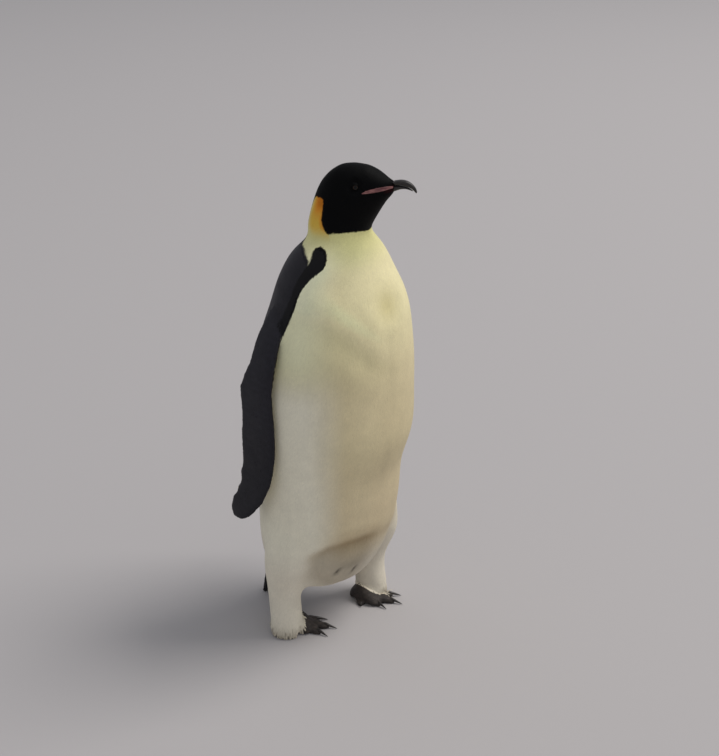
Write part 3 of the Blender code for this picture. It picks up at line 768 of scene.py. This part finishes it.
# ---------------- vanes
# Outline and ridge of a vane: share of its length, share of its width, share of its camber.
VANE = np.array(((0.00, 0.00, 0.0), (0.30, -0.50, 0.0), (0.30, 0.50, 0.0), (0.86, -0.40, 0.0),
                 (0.86, 0.40, 0.0), (1.00, 0.00, 0.0), (0.62, 0.00, 1.0)))
ALONG, ACROSS, RIDGE = VANE.T
CORNERS = len(VANE)
RIM = (0, 1, 3, 5, 4, 2)
RIM_PAIRS = list(zip(RIM, RIM[1:] + RIM[:1]))
VANE_FACES = np.array([(6, a, b) for a, b in RIM_PAIRS]
                      + [(0, 2, 1), (2, 4, 1), (4, 3, 1), (4, 5, 3)])
CAMBER, CURL = 0.035, -0.045            # of a vane's width
EVEN_AT, TIP_GAIN = 0.72, 2.2           # where along a vane its tone is true, and its slope
ROOT_RISE = 0.62                        # a root's height in the coat, as a share of its tip's
# Spread from one feather to the next: direction, its gain where loose, length, width, lift
# and its gain where loose.
VEER, VEER_LOOSE, LENGTHS, WIDTHS, LIFTS, LIFTS_LOOSE = 0.06, 0.06, 0.10, 0.08, 0.04, 0.09


class Skin:
    """The finished skin's surface, for feathers to lie along."""

    def __init__(self, points, triangles, normals):
        self.tree = BVHTree.FromPolygons(points.tolist(), triangles.tolist())
        self.triangles = triangles
        self.normals = normals

    def follow(self, start, steps, normals, hug):
        """The ends of steps along the skin and the normals there; without hug they run free."""
        ends, normals_there = start + steps, np.empty_like(start)
        places = np.empty_like(start)
        for index, point in enumerate(ends):
            place, _, face, _ = self.tree.find_nearest(Vector(point))
            places[index] = place
            normals_there[index] = self.normals[self.triangles[face]].sum(0)
        return mix(ends, places, hug), unit(mix(normals, unit(normals_there), hug))


def lay_vanes(skin, roots, normals, ways, length, width, depth, hug, loose, rng):
    """Points of every vane, which follow the skin from root to tip."""
    spread = rng.normal(size=(len(roots), 4))
    across = np.cross(normals, ways)
    veer = (VEER + VEER_LOOSE * loose) * spread[:, 0]
    ways = unit(ways * np.cos(veer)[:, None] + across * np.sin(veer)[:, None])
    length = length * (1 + LENGTHS * spread[:, 1])
    width = width * (1 + WIDTHS * spread[:, 2])
    lift = depth * (1 + (LIFTS + LIFTS_LOOSE * loose) * spread[:, 3])

    half = (length / 2)[:, None]
    middle, normal_mid = skin.follow(roots, ways * half, normals, hug)
    off = dot(ways, normal_mid)
    off = np.where(hug > 0.5, off, np.minimum(off, 0.0))
    onward = unit(ways - normal_mid * off[:, None])
    tip, normal_tip = skin.follow(middle, onward * half, normals, hug)

    t = ALONG
    line = (roots[:, None] * ((1 - t) * (1 - 2 * t))[:, None]
            + middle[:, None] * (4 * t * (1 - t))[:, None]
            + tip[:, None] * (t * (2 * t - 1))[:, None])
    up = unit(normals[:, None] * (1 - t)[:, None] + normal_tip[:, None] * t[:, None]
              + normal_mid[:, None] * (4 * t * (1 - t))[:, None])
    out = unit(np.cross(up, ways[:, None] + np.zeros_like(up)))
    rise = lift[:, None] * (ROOT_RISE + (1 - ROOT_RISE) * (1 - (1 - t) ** 2.0))
    camber = CAMBER * width[:, None] * RIDGE
    curl = CURL * width[:, None] * (2 * ACROSS) ** 2
    return (line + out * (ACROSS * width[:, None])[..., None]
            + up * (rise + camber + curl)[..., None])


def unwrap(points, region, normals):
    """Where a root lies on an unwrap of the skin: round and up the body, limb by limb."""
    side, ahead, height = facing(points)
    u, v = np.arctan2(side, ahead) / (2 * math.pi) + 0.5, (height - 0.05) / 0.98
    centre = np.stack([side, ahead - HEAD_CENTRE[0], height - HEAD_CENTRE[1]], axis=1)
    head = region == HEAD
    u = np.where(head, np.arctan2(centre[:, 0], centre[:, 1]) / (2 * math.pi) + 0.5, u)
    v = np.where(head, 1.02 + 0.5 * (unit(centre)[:, 2] + 1), v)
    for flipper, sign, at in zip(FLIPPERS, (1, -1), (1.1, 1.7)):
        here = region == flipper
        behind = np.clip((points[:, 1] + 0.02) / 0.16, 0, 1)
        inner = sign * normals[:, 0] <= 0
        u = np.where(here, at + 0.28 * behind + 0.29 * inner, u)
        v = np.where(here, (height - 0.27) / 0.5, v)
    for leg, at in zip(LEGS, (2.4, 3.0)):
        here = region == leg
        off = points - middle_of(leg)
        turn = np.arctan2(off[:, 0], off[:, 1]) / (2 * math.pi) + 0.5
        u = np.where(here, at + 0.5 * turn, u)
        v = np.where(here, height / 0.30, v)
    return np.stack([u, v], axis=1)


def filling(place):
    """Places on the unwrap, scaled to fill the square."""
    low, high = place.min(0), place.max(0)
    return PATCH + (place - low) / (high - low) * (1 - 3 * PATCH)


def coat_piece(name, vanes, colours, tip, roots_uv, finish):
    """One piece of the coat from the points of its vanes, with colours and its unwrap."""
    count = len(vanes)
    faces = (VANE_FACES[None] + CORNERS * np.arange(count)[:, None, None]).reshape(-1, 3)
    mesh = mesh_from(name, vanes.reshape(-1, 3), faces)
    shade = 1 + tip * (ALONG - EVEN_AT) * TIP_GAIN
    colour_points(mesh, (colours * shade[:, None]).reshape(-1, 3))
    place = np.zeros((count, CORNERS, 3))
    place[..., 0], place[..., 1] = ALONG, ACROSS
    store(mesh, "vane", "FLOAT_VECTOR", place)

    layer = mesh.uv_layers.new(name="OFBake")
    patch = roots_uv[:, None] + PATCH * np.stack([ALONG - 0.5, ACROSS], 1)
    corner = patch.reshape(-1, 2)[faces.ravel()]
    layer.data.foreach_set("uv", corner.astype(np.float32).ravel())

    ends = np.sort(edge_ends(mesh) % CORNERS, axis=1)
    rims = [min(pair) * CORNERS + max(pair) for pair in RIM_PAIRS]
    sharp = np.isin(ends[:, 0] * CORNERS + ends[:, 1], rims)
    mesh.attributes.new("sharp_edge", "BOOLEAN", "EDGE").data.foreach_set("value", sharp)
    mesh.materials.append(finish)
    piece = add_object(name, mesh)
    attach(piece, "root")


# ---------------- materials
def new_material(name):
    made = bpy.data.materials.new(name)
    made.use_nodes = True
    return made, made.node_tree, made.node_tree.nodes["Principled BSDF"]


def wire(tree, node, inputs):
    """Sets each named input to a constant, or links it to another node's output."""
    for name, value in inputs.items():
        if isinstance(value, bpy.types.NodeSocket):
            tree.links.new(value, node.inputs[name])
        else:
            node.inputs[name].default_value = value


def new_node(tree, kind, inputs, **settings):
    """A new shader node with its settings and its inputs."""
    node = tree.nodes.new("ShaderNode" + kind)
    for name, value in settings.items():
        setattr(node, name, value)
    wire(tree, node, inputs)
    return node


def object_place(tree):
    return new_node(tree, "TexCoord", {}).outputs["Object"]


def paint(tree):
    """The colour kept for the points of the mesh."""
    return new_node(tree, "Attribute", {}, attribute_name="plumage").outputs["Color"]


def noise_over(tree, place, scale, detail):
    inputs = {"Vector": place, "Scale": scale, "Detail": detail}
    return new_node(tree, "TexNoise", inputs).outputs["Fac"]


def ranged(tree, source, low, high, to_low, to_high):
    """The value with its range from low to high stretched onto another."""
    inputs = {"Value": source, "From Min": low, "From Max": high,
              "To Min": to_low, "To Max": to_high}
    return new_node(tree, "MapRange", inputs).outputs["Result"]


def scaled_colour(tree, colour, factor):
    """The colour times a grey factor."""
    inputs = {0: colour, "Scale": factor}
    return new_node(tree, "VectorMath", inputs, operation="SCALE").outputs["Vector"]


def bump(tree, height, strength, distance):
    inputs = {"Height": height, "Strength": strength, "Distance": distance}
    return new_node(tree, "Bump", inputs).outputs["Normal"]


def plumage_material(name, roughness, sheen, specular):
    """Feather vanes: their painted colour, fine barbs and a little sheen."""
    made, tree, shader = new_material(name)
    mottle = noise_over(tree, object_place(tree), 34.0, 4.0)
    vane = new_node(tree, "Attribute", {}, attribute_name="vane").outputs["Vector"]
    waves = {"Vector": vane, "Scale": 9.0, "Distortion": 1.5, "Detail": 1.0}
    barbs = new_node(tree, "TexWave", waves).outputs["Fac"]
    factors = {0: ranged(tree, mottle, 0.3, 0.7, 0.97, 1.03),
               1: ranged(tree, barbs, 0.0, 1.0, 0.95, 1.03)}
    both = new_node(tree, "Math", factors, operation="MULTIPLY").outputs["Value"]
    wire(tree, shader, {
        "Base Color": scaled_colour(tree, paint(tree), both),
        "Roughness": ranged(tree, mottle, 0.3, 0.7, roughness - 0.06, roughness + 0.06),
        "Sheen Weight": sheen,
        "Sheen Roughness": 0.45,
        "Specular IOR Level": specular,
        "Normal": bump(tree, barbs, 0.15, 0.0002)})
    return made


def skin_material():
    """Skin under the coat, in the coat's own colours."""
    made, tree, shader = new_material("under_coat")
    grain = noise_over(tree, object_place(tree), 700.0, 2.0)
    factor = ranged(tree, grain, 0.3, 0.7, 0.92, 1.0)
    wire(tree, shader, {
        "Base Color": scaled_colour(tree, paint(tree), factor),
        "Roughness": 0.8,
        "Specular IOR Level": 0.08,
        "Normal": bump(tree, grain, 0.4, 0.0004)})
    return made


def foot_material():
    """Bare scaly skin: dark plates with dull brown seams."""
    made, tree, shader = new_material("scaly_skin")
    place = object_place(tree)
    cells = new_node(tree, "TexVoronoi", {"Vector": place}, feature="DISTANCE_TO_EDGE")
    cells.inputs["Scale"].default_value = 420.0
    distance = cells.outputs["Distance"]
    grain = noise_over(tree, place, 900.0, 3.0)
    relief = {0: grain, 1: 0.25, 2: ranged(tree, distance, 0.0, 0.15, 0.0, 1.0)}
    height = new_node(tree, "Math", relief, operation="MULTIPLY_ADD").outputs["Value"]
    seam = ranged(tree, distance, 0.0, 0.12, 0.55, 1.15)
    wire(tree, shader, {
        "Base Color": scaled_colour(tree, paint(tree), seam),
        "Roughness": ranged(tree, grain, 0.3, 0.7, 0.48, 0.68),
        "Normal": bump(tree, height, 0.6, 0.0006)})
    return made


def horn_material(name, dark, pale, roughness, streak_scale, specular=0.5):
    """Horn with streaks that run along it and faint wear."""
    made, tree, shader = new_material(name)
    stretch = {"Vector": object_place(tree), "Scale": (0.35, 0.35, 1.6)}
    place = new_node(tree, "Mapping", stretch).outputs["Vector"]
    streaks = noise_over(tree, place, streak_scale, 5.0)
    # Sockets 6, 7 and 2 of this node are its two colours and its result as a colour.
    tones = {"Factor": ranged(tree, streaks, 0.35, 0.70, 0.0, 1.0),
             6: (*tone(*dark), 1), 7: (*tone(*pale), 1)}
    wire(tree, shader, {
        "Base Color": new_node(tree, "Mix", tones, data_type="RGBA").outputs[2],
        "Roughness": ranged(tree, streaks, 0.3, 0.7, roughness - 0.06, roughness + 0.10),
        "Specular IOR Level": specular,
        "Normal": bump(tree, streaks, 0.25, 0.0004)})
    return made


# Cosine of the angle off the eye's axis, and the colour there: dark outside, the brown iris
# between two stops, and the pupil.
IRIS = ((0.70, (0.003, 0.003, 0.003, 1)), (0.74, (0.030, 0.014, 0.007, 1)),
        (0.91, (0.022, 0.010, 0.005, 1)), (0.925, (0.002, 0.002, 0.002, 1)))


def eye_material(centre, axis):
    """A dark brown iris round a black pupil, under a wet surface."""
    made, tree, shader = new_material("wet_eye")
    place = object_place(tree)
    off = new_node(tree, "VectorMath", {0: place, 1: centre}, operation="SUBTRACT")
    way = new_node(tree, "VectorMath", {0: off.outputs["Vector"]}, operation="NORMALIZE")
    toward = new_node(tree, "VectorMath", {0: way.outputs["Vector"], 1: axis},
                      operation="DOT_PRODUCT")
    colours = new_node(tree, "ValToRGB", {"Fac": toward.outputs["Value"]})
    stops = colours.color_ramp.elements
    stops[0].position, stops[1].position = IRIS[0][0], IRIS[-1][0]
    for position, _ in IRIS[1:-1]:
        stops.new(position)
    for stop, (_, colour) in zip(stops, IRIS):
        stop.color = colour
    fibres = ranged(tree, noise_over(tree, place, 900.0, 4.0), 0.3, 0.7, 0.7, 1.3)
    wire(tree, shader, {
        "Base Color": scaled_colour(tree, colours.outputs["Color"], fibres),
        "Roughness": 0.10,
        "Specular IOR Level": 0.16,
        "Coat Weight": 0.12,
        "Coat Roughness": 0.03})
    return made


# ---------------- eyes, lids and horn
LID_TONE = tone(9, 8, 8)
LID_STEPS = 48
# The lids from the ball outwards: distance from its centre in radii, and angle off its axis.
LID_PROFILE = ((0.965, 0.60), (1.015, 0.63), (1.040, 0.70), (1.035, 0.80), (1.028, 0.95),
               (1.018, 1.10), (0.90, 1.22))
CORNEA_FROM, CORNEA_BULGE = 0.86, 0.25


def eye_frame(side):
    """Centre, radius and outward direction of an eye."""
    low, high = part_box("eye_" + side)
    centre, radius = (low + high) / 2, (high - low).z / 2
    sign = 1 if side == "left" else -1
    outward = (from_head(sign, 0.34, 0.0) - from_head(0, 0, 0)).normalized()
    return centre, radius, Vector((outward.x, outward.y, 0.10)).normalized()


def make_eye(side):
    """A finer eyeball in the frame eye's place."""
    centre, radius, axis = eye_frame(side)
    ball = bmesh.new()
    bmesh.ops.create_icosphere(ball, subdivisions=5, radius=radius)
    for vert in ball.verts:
        bulge = max(vert.co.normalized().dot(axis) - CORNEA_FROM, 0.0)
        vert.co *= 1 + CORNEA_BULGE * bulge
        vert.co += centre
    mesh = finished(ball, "eyeball_" + side)
    mesh.shade_smooth()
    mesh.materials.append(eye_material(centre, axis))
    piece = add_object("eyeball_" + side, mesh)
    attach(piece, "root")
    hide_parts("eye_" + side)


def lid_points(side):
    """Rings of the bare lids: an oval rim that hugs the ball and fades into the feathers."""
    centre, radius, axis = eye_frame(side)
    level = Vector((axis.y, -axis.x, 0)).normalized()
    upright = axis.cross(level).normalized()
    if upright.z < 0:
        upright = -upright
    rings = []
    for out, spread in LID_PROFILE:
        ring = []
        oval = min(max((1.10 - spread) / 0.40, 0.0), 1.0)
        for step in range(LID_STEPS):
            turn = 2 * math.pi * step / LID_STEPS
            squeeze = 0.16 * abs(math.sin(turn)) + 0.06 * max(math.sin(turn), 0)
            angle = spread * (1 - oval * squeeze) * 1.02
            ray = (axis * math.cos(angle)
                   + (level * math.cos(turn) + upright * math.sin(turn)) * math.sin(angle))
            ring.append(centre + ray * radius * out)
        rings.append(ring)
    return rings


def add_lids(mesh):
    """Joins the lids to the skin's mesh, in its third material."""
    whole = bmesh.new()
    whole.from_mesh(mesh)
    for side in SIDES:
        rings = [[whole.verts.new(p) for p in ring] for ring in lid_points(side)]
        made = []
        for low, high in zip(rings, rings[1:] + rings[:1]):
            for k in range(LID_STEPS):
                after = (k + 1) % LID_STEPS
                made.append(whole.faces.new((low[k], low[after], high[after], high[k])))
        bmesh.ops.recalc_face_normals(whole, faces=made)
        for face in made:
            face.material_index = 2
    before = len(mesh.vertices)
    whole.to_mesh(mesh)
    whole.free()
    colour = mesh.attributes["plumage"].data
    for index in range(before, len(mesh.vertices)):
        colour[index].color = (*LID_TONE, 1)


def refine(name, grain, rounds, finish):
    """A finer surface on one of the frame's own nodes, with its new finish."""
    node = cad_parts[name]
    modify(node, "WELD", merge_threshold=0.00001)
    modify(node, "REMESH", mode="VOXEL", voxel_size=grain, use_smooth_shade=True)
    modify(node, "SMOOTH", iterations=rounds, factor=0.5)
    node.data.materials.clear()
    node.data.materials.append(finish)


def refine_horn():
    """The bill, its plates and the claws."""
    black_horn = horn_material("black_horn", (22, 20, 20), (52, 46, 43), 0.38, 300.0)
    rose_horn = horn_material("rose_horn", (84, 36, 42), (166, 114, 110), 0.42, 240.0)
    claw_horn = horn_material("claw_horn", (18, 16, 15), (50, 42, 36), 0.36, 320.0)
    for half in ("upper", "lower"):
        refine("bill_" + half, 0.0006, 8, black_horn)
    for side in SIDES:
        refine("bill_plate_" + side, 0.00035, 3, rose_horn)
        for toe in ("inner", "middle", "outer", "hallux"):
            refine(f"claw_{side}_{toe}", 0.0005, 5, claw_horn)


# ---------------- the coat
def vane_sizes(points, region):
    """Length and width of the feather at each root; they shrink evenly from breast to bill."""
    _, ahead, height = facing(points)
    reach = from_bill(ahead, height)
    head, trunk = (region == HEAD)[:, None], (region == TRUNK)[:, None]
    size = mix(BODY_VANE, NECK_VANE, ramp(height, 0.72, 0.88))
    size = mix(size, HEAD_VANE, ramp(height, 0.88, 0.93))
    size = np.where(trunk, mix(size, VENT_VANE, vent_share(points)), size)
    size = np.where(head, mix(size, FACE_VANE, ramp(reach, 0.070, 0.036)), size)
    size = np.where(head, mix(size, BILL_VANE, ramp(reach, 0.030, 0.008)), size)
    leg = mix(LEG_VANE, HEM_VANE, ramp(height, HEM_TOP, 0.020))
    size = np.where(np.isin(region, LEGS)[:, None], leg, size)
    size = np.where(np.isin(region, FLIPPERS)[:, None], FLIPPER_VANE, size)
    return np.where((region == TAIL)[:, None], TAIL_VANE, size).T


def over_toes(roots, region):
    """1 where a leg's hem would hang over its own foot, 0 elsewhere."""
    share = np.zeros(len(roots))
    for leg, foot in zip(LEGS, FEET):
        forward = unit((middle_of(foot) - middle_of(leg)) * (1, 1, 0))
        out = unit((roots - middle_of(leg)) * (1, 1, 0))
        front = ramp(dot(out, forward[None]), 0.0, 0.5) * ramp(roots[:, 2], 0.062, 0.045)
        share = np.where(region == leg, front, share)
    return share


def coat_zones(points, triangles, region, normals):
    """Each zone of the coat: name, kind of feather, faces, slot, and how much paler its tips."""
    middle = points[triangles].mean(1)
    zone = region[triangles[:, 0]]
    side, ahead, height = facing(middle)
    dark_side = np.abs(bearing(side, ahead)) > on_curve(height, BAND_OUTER) + 1.0
    near_bill = from_bill(ahead, height) < FACE_SIZE
    tones = markings(middle, zone, unit(normals[triangles].mean(1)))
    mantle = (zone == NECK) & (tones.mean(1) < MANTLE_TONE)
    return (
        ("coat_front", "front", (zone == TRUNK) & ~dark_side, "plumage_pale", 0.00),
        ("coat_back", "back", (zone == TRUNK) & dark_side, "plumage_dark", 0.22),
        ("coat_neck", "neck", (zone == NECK) & ~mantle, "plumage_pale", 0.00),
        ("coat_mantle", "neck", mantle, "plumage_dark", 0.22),
        ("coat_head", "head", (zone == HEAD) & ~near_bill, "plumage_black", 0.00),
        ("coat_face", "face", (zone == HEAD) & near_bill, "plumage_black", 0.00),
        ("coat_flipper_left", "flipper", zone == FLIP_L, "plumage_dark", 0.20),
        ("coat_flipper_right", "flipper", zone == FLIP_R, "plumage_dark", 0.20),
        ("coat_legs", "leg", np.isin(zone, LEGS), "plumage_pale", 0.00),
        ("coat_tail", "tail", zone == TAIL, "plumage_dark", 0.20),
    )


def vane_colours(vanes, region, normals, rng):
    """The markings over each vane, nearly as they are at its bare end, which is what shows."""
    count = len(vanes)
    shown = vanes[:, 3:5].mean(1)[:, None]
    places = (shown + EDGE_SHARPNESS * (vanes - shown)).reshape(-1, 3)
    colours = markings(places, np.repeat(region, CORNERS), np.repeat(normals, CORNERS, axis=0))
    shades = 1 + TONE_SPREAD * rng.normal(size=count)
    return colours.reshape(count, CORNERS, 3) * shades[:, None, None]


def grow_coat(points, triangles, region, depth, normals, finishes):
    """Scatters the roots zone by zone, lays the vanes and makes the pieces of the coat."""
    skin = Skin(points, triangles, normals)
    group = scatter_group()
    rng = np.random.default_rng(SEED)
    zones = coat_zones(points, triangles, region, normals)
    for number, (name, kind, chosen, slot, tip) in enumerate(zones):
        roots, out, deep = scatter(
            points, triangles[chosen], normals, depth, SPACING[kind], SEED + number, group)
        zone = regions_of(roots)
        zone = np.where(np.isin(zone, FEET), zone - FOOT_L + LEG_L, zone)
        ways = lie(roots, out, zone)
        length, width = vane_sizes(roots, zone)
        if kind in ("head", "face"):
            keep = clear_of_eyes(roots, ways, length)
            roots, out, deep, zone, ways, length, width = (
                values[keep] for values in (roots, out, deep, zone, ways, length, width))
        length = length * (1 - HEM_OVER_TOES * over_toes(roots, zone))
        hem = hem_share(roots[:, 2], zone)
        loose = np.maximum(vent_share(roots) * (zone == TRUNK), hem)
        vanes = lay_vanes(skin, roots, out, ways, length, width,
                          np.maximum(deep, LEAST_DEPTH), 1 - hem, loose, rng)
        vanes[..., 2] = np.maximum(vanes[..., 2], LEAST_HEIGHT)
        colours = vane_colours(vanes, zone, out, rng)
        places = unwrap(roots, zone, out)
        parts = math.ceil(len(roots) / MOST_VANES)
        upwards = np.argsort(roots[:, 2], kind="stable")
        for part, some in enumerate(np.array_split(upwards, parts), 1):
            label = name if parts == 1 else f"{name}_{part}"
            coat_piece(label, vanes[some], colours[some], tip, filling(places[some]),
                       finishes[slot])
        print(f"{name}: {len(roots)} vanes in {parts} pieces")


# ---------------- floor, lights and camera
FLOOR_SIZE, FLOOR_COLOUR = 40.0, (0.50, 0.48, 0.485, 1)
SKY_COLOUR, SKY_STRENGTH = (0.93, 0.95, 1.0, 1), 0.42
KEY_PLACE, KEY_SIZE, KEY_POWER, KEY_COLOUR = (8.4, -7.4, 16.6), 10.0, 2350.0, (1.0, 0.965, 0.92)
KEY_AIM = (0, 0, 0.5)
CAMERA_PLACE, LENS = (-2.0233, -1.6070, 1.65), 63.93
CAMERA_BEARING, CAMERA_PITCH = math.radians(53.04), math.radians(22.72)   # from +Y, and down


def add_aimed(name, data, place, look):
    """A lamp or camera at a place, looking along a direction."""
    made = add_object(name, data)
    made.location = place
    made.rotation_euler = look.to_track_quat("-Z", "Y").to_euler()
    return made


def add_floor():
    grid = bmesh.new()
    bmesh.ops.create_grid(grid, x_segments=1, y_segments=1, size=FLOOR_SIZE)
    mesh = finished(grid, "floor")
    floor = add_object("floor", mesh)
    made, tree, shader = new_material("floor")
    grain = noise_over(tree, object_place(tree), 14.0, 4.0)
    wire(tree, shader, {"Base Color": FLOOR_COLOUR, "Roughness": 0.9,
                        "Normal": bump(tree, grain, 0.05, 0.002)})
    mesh.materials.append(made)


def set_stage():
    """A pale floor, soft light from above and the camera over the bird's right front."""
    scene = bpy.context.scene
    scene.view_settings.view_transform = "Standard"
    add_floor()
    scene.world = bpy.data.worlds.new("sky")
    scene.world.use_nodes = True
    wire(scene.world.node_tree, scene.world.node_tree.nodes["Background"],
         {"Color": SKY_COLOUR, "Strength": SKY_STRENGTH})
    light = bpy.data.lights.new("key", "AREA")
    light.size, light.energy, light.color = KEY_SIZE, KEY_POWER, KEY_COLOUR
    add_aimed("key", light, KEY_PLACE, Vector(KEY_AIM) - Vector(KEY_PLACE))
    lens = bpy.data.cameras.new("camera")
    lens.sensor_width, lens.lens, lens.clip_end = 36.0, LENS, 120.0
    level = math.cos(CAMERA_PITCH)
    look = Vector((math.sin(CAMERA_BEARING) * level, math.cos(CAMERA_BEARING) * level,
                   -math.sin(CAMERA_PITCH)))
    scene.camera = add_aimed("camera", lens, CAMERA_PLACE, look)


# ---------------- assembly
def main():
    mesh, points, triangles, region, depth = make_skin()
    normals = normals_of(points, triangles)
    print("skin triangles:", len(triangles))
    colour_points(mesh, markings(points, region, normals))
    first = [face.vertices[0] for face in mesh.polygons]
    bare = np.isin(region[first], FEET)
    mesh.polygons.foreach_set("material_index", bare.astype(np.int32))
    add_lids(mesh)
    lids = horn_material("lid_skin", (7, 6, 6), (15, 13, 13), 0.6, 500.0, specular=0.06)
    for finish in (skin_material(), foot_material(), lids):
        mesh.materials.append(finish)
    mesh.shade_smooth()
    skin_piece = add_object("skin", mesh)
    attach(skin_piece, "root")
    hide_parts(*REGIONS)

    grow_coat(points, triangles, region, depth, normals, {
        "plumage_pale": plumage_material("pale_plumage", 0.78, 0.03, 0.15),
        "plumage_dark": plumage_material("slate_plumage", 0.55, 0.02, 0.22),
        "plumage_black": plumage_material("black_plumage", 0.60, 0.0, 0.08)})
    for side in SIDES:
        make_eye(side)
    refine_horn()
    set_stage()


main()
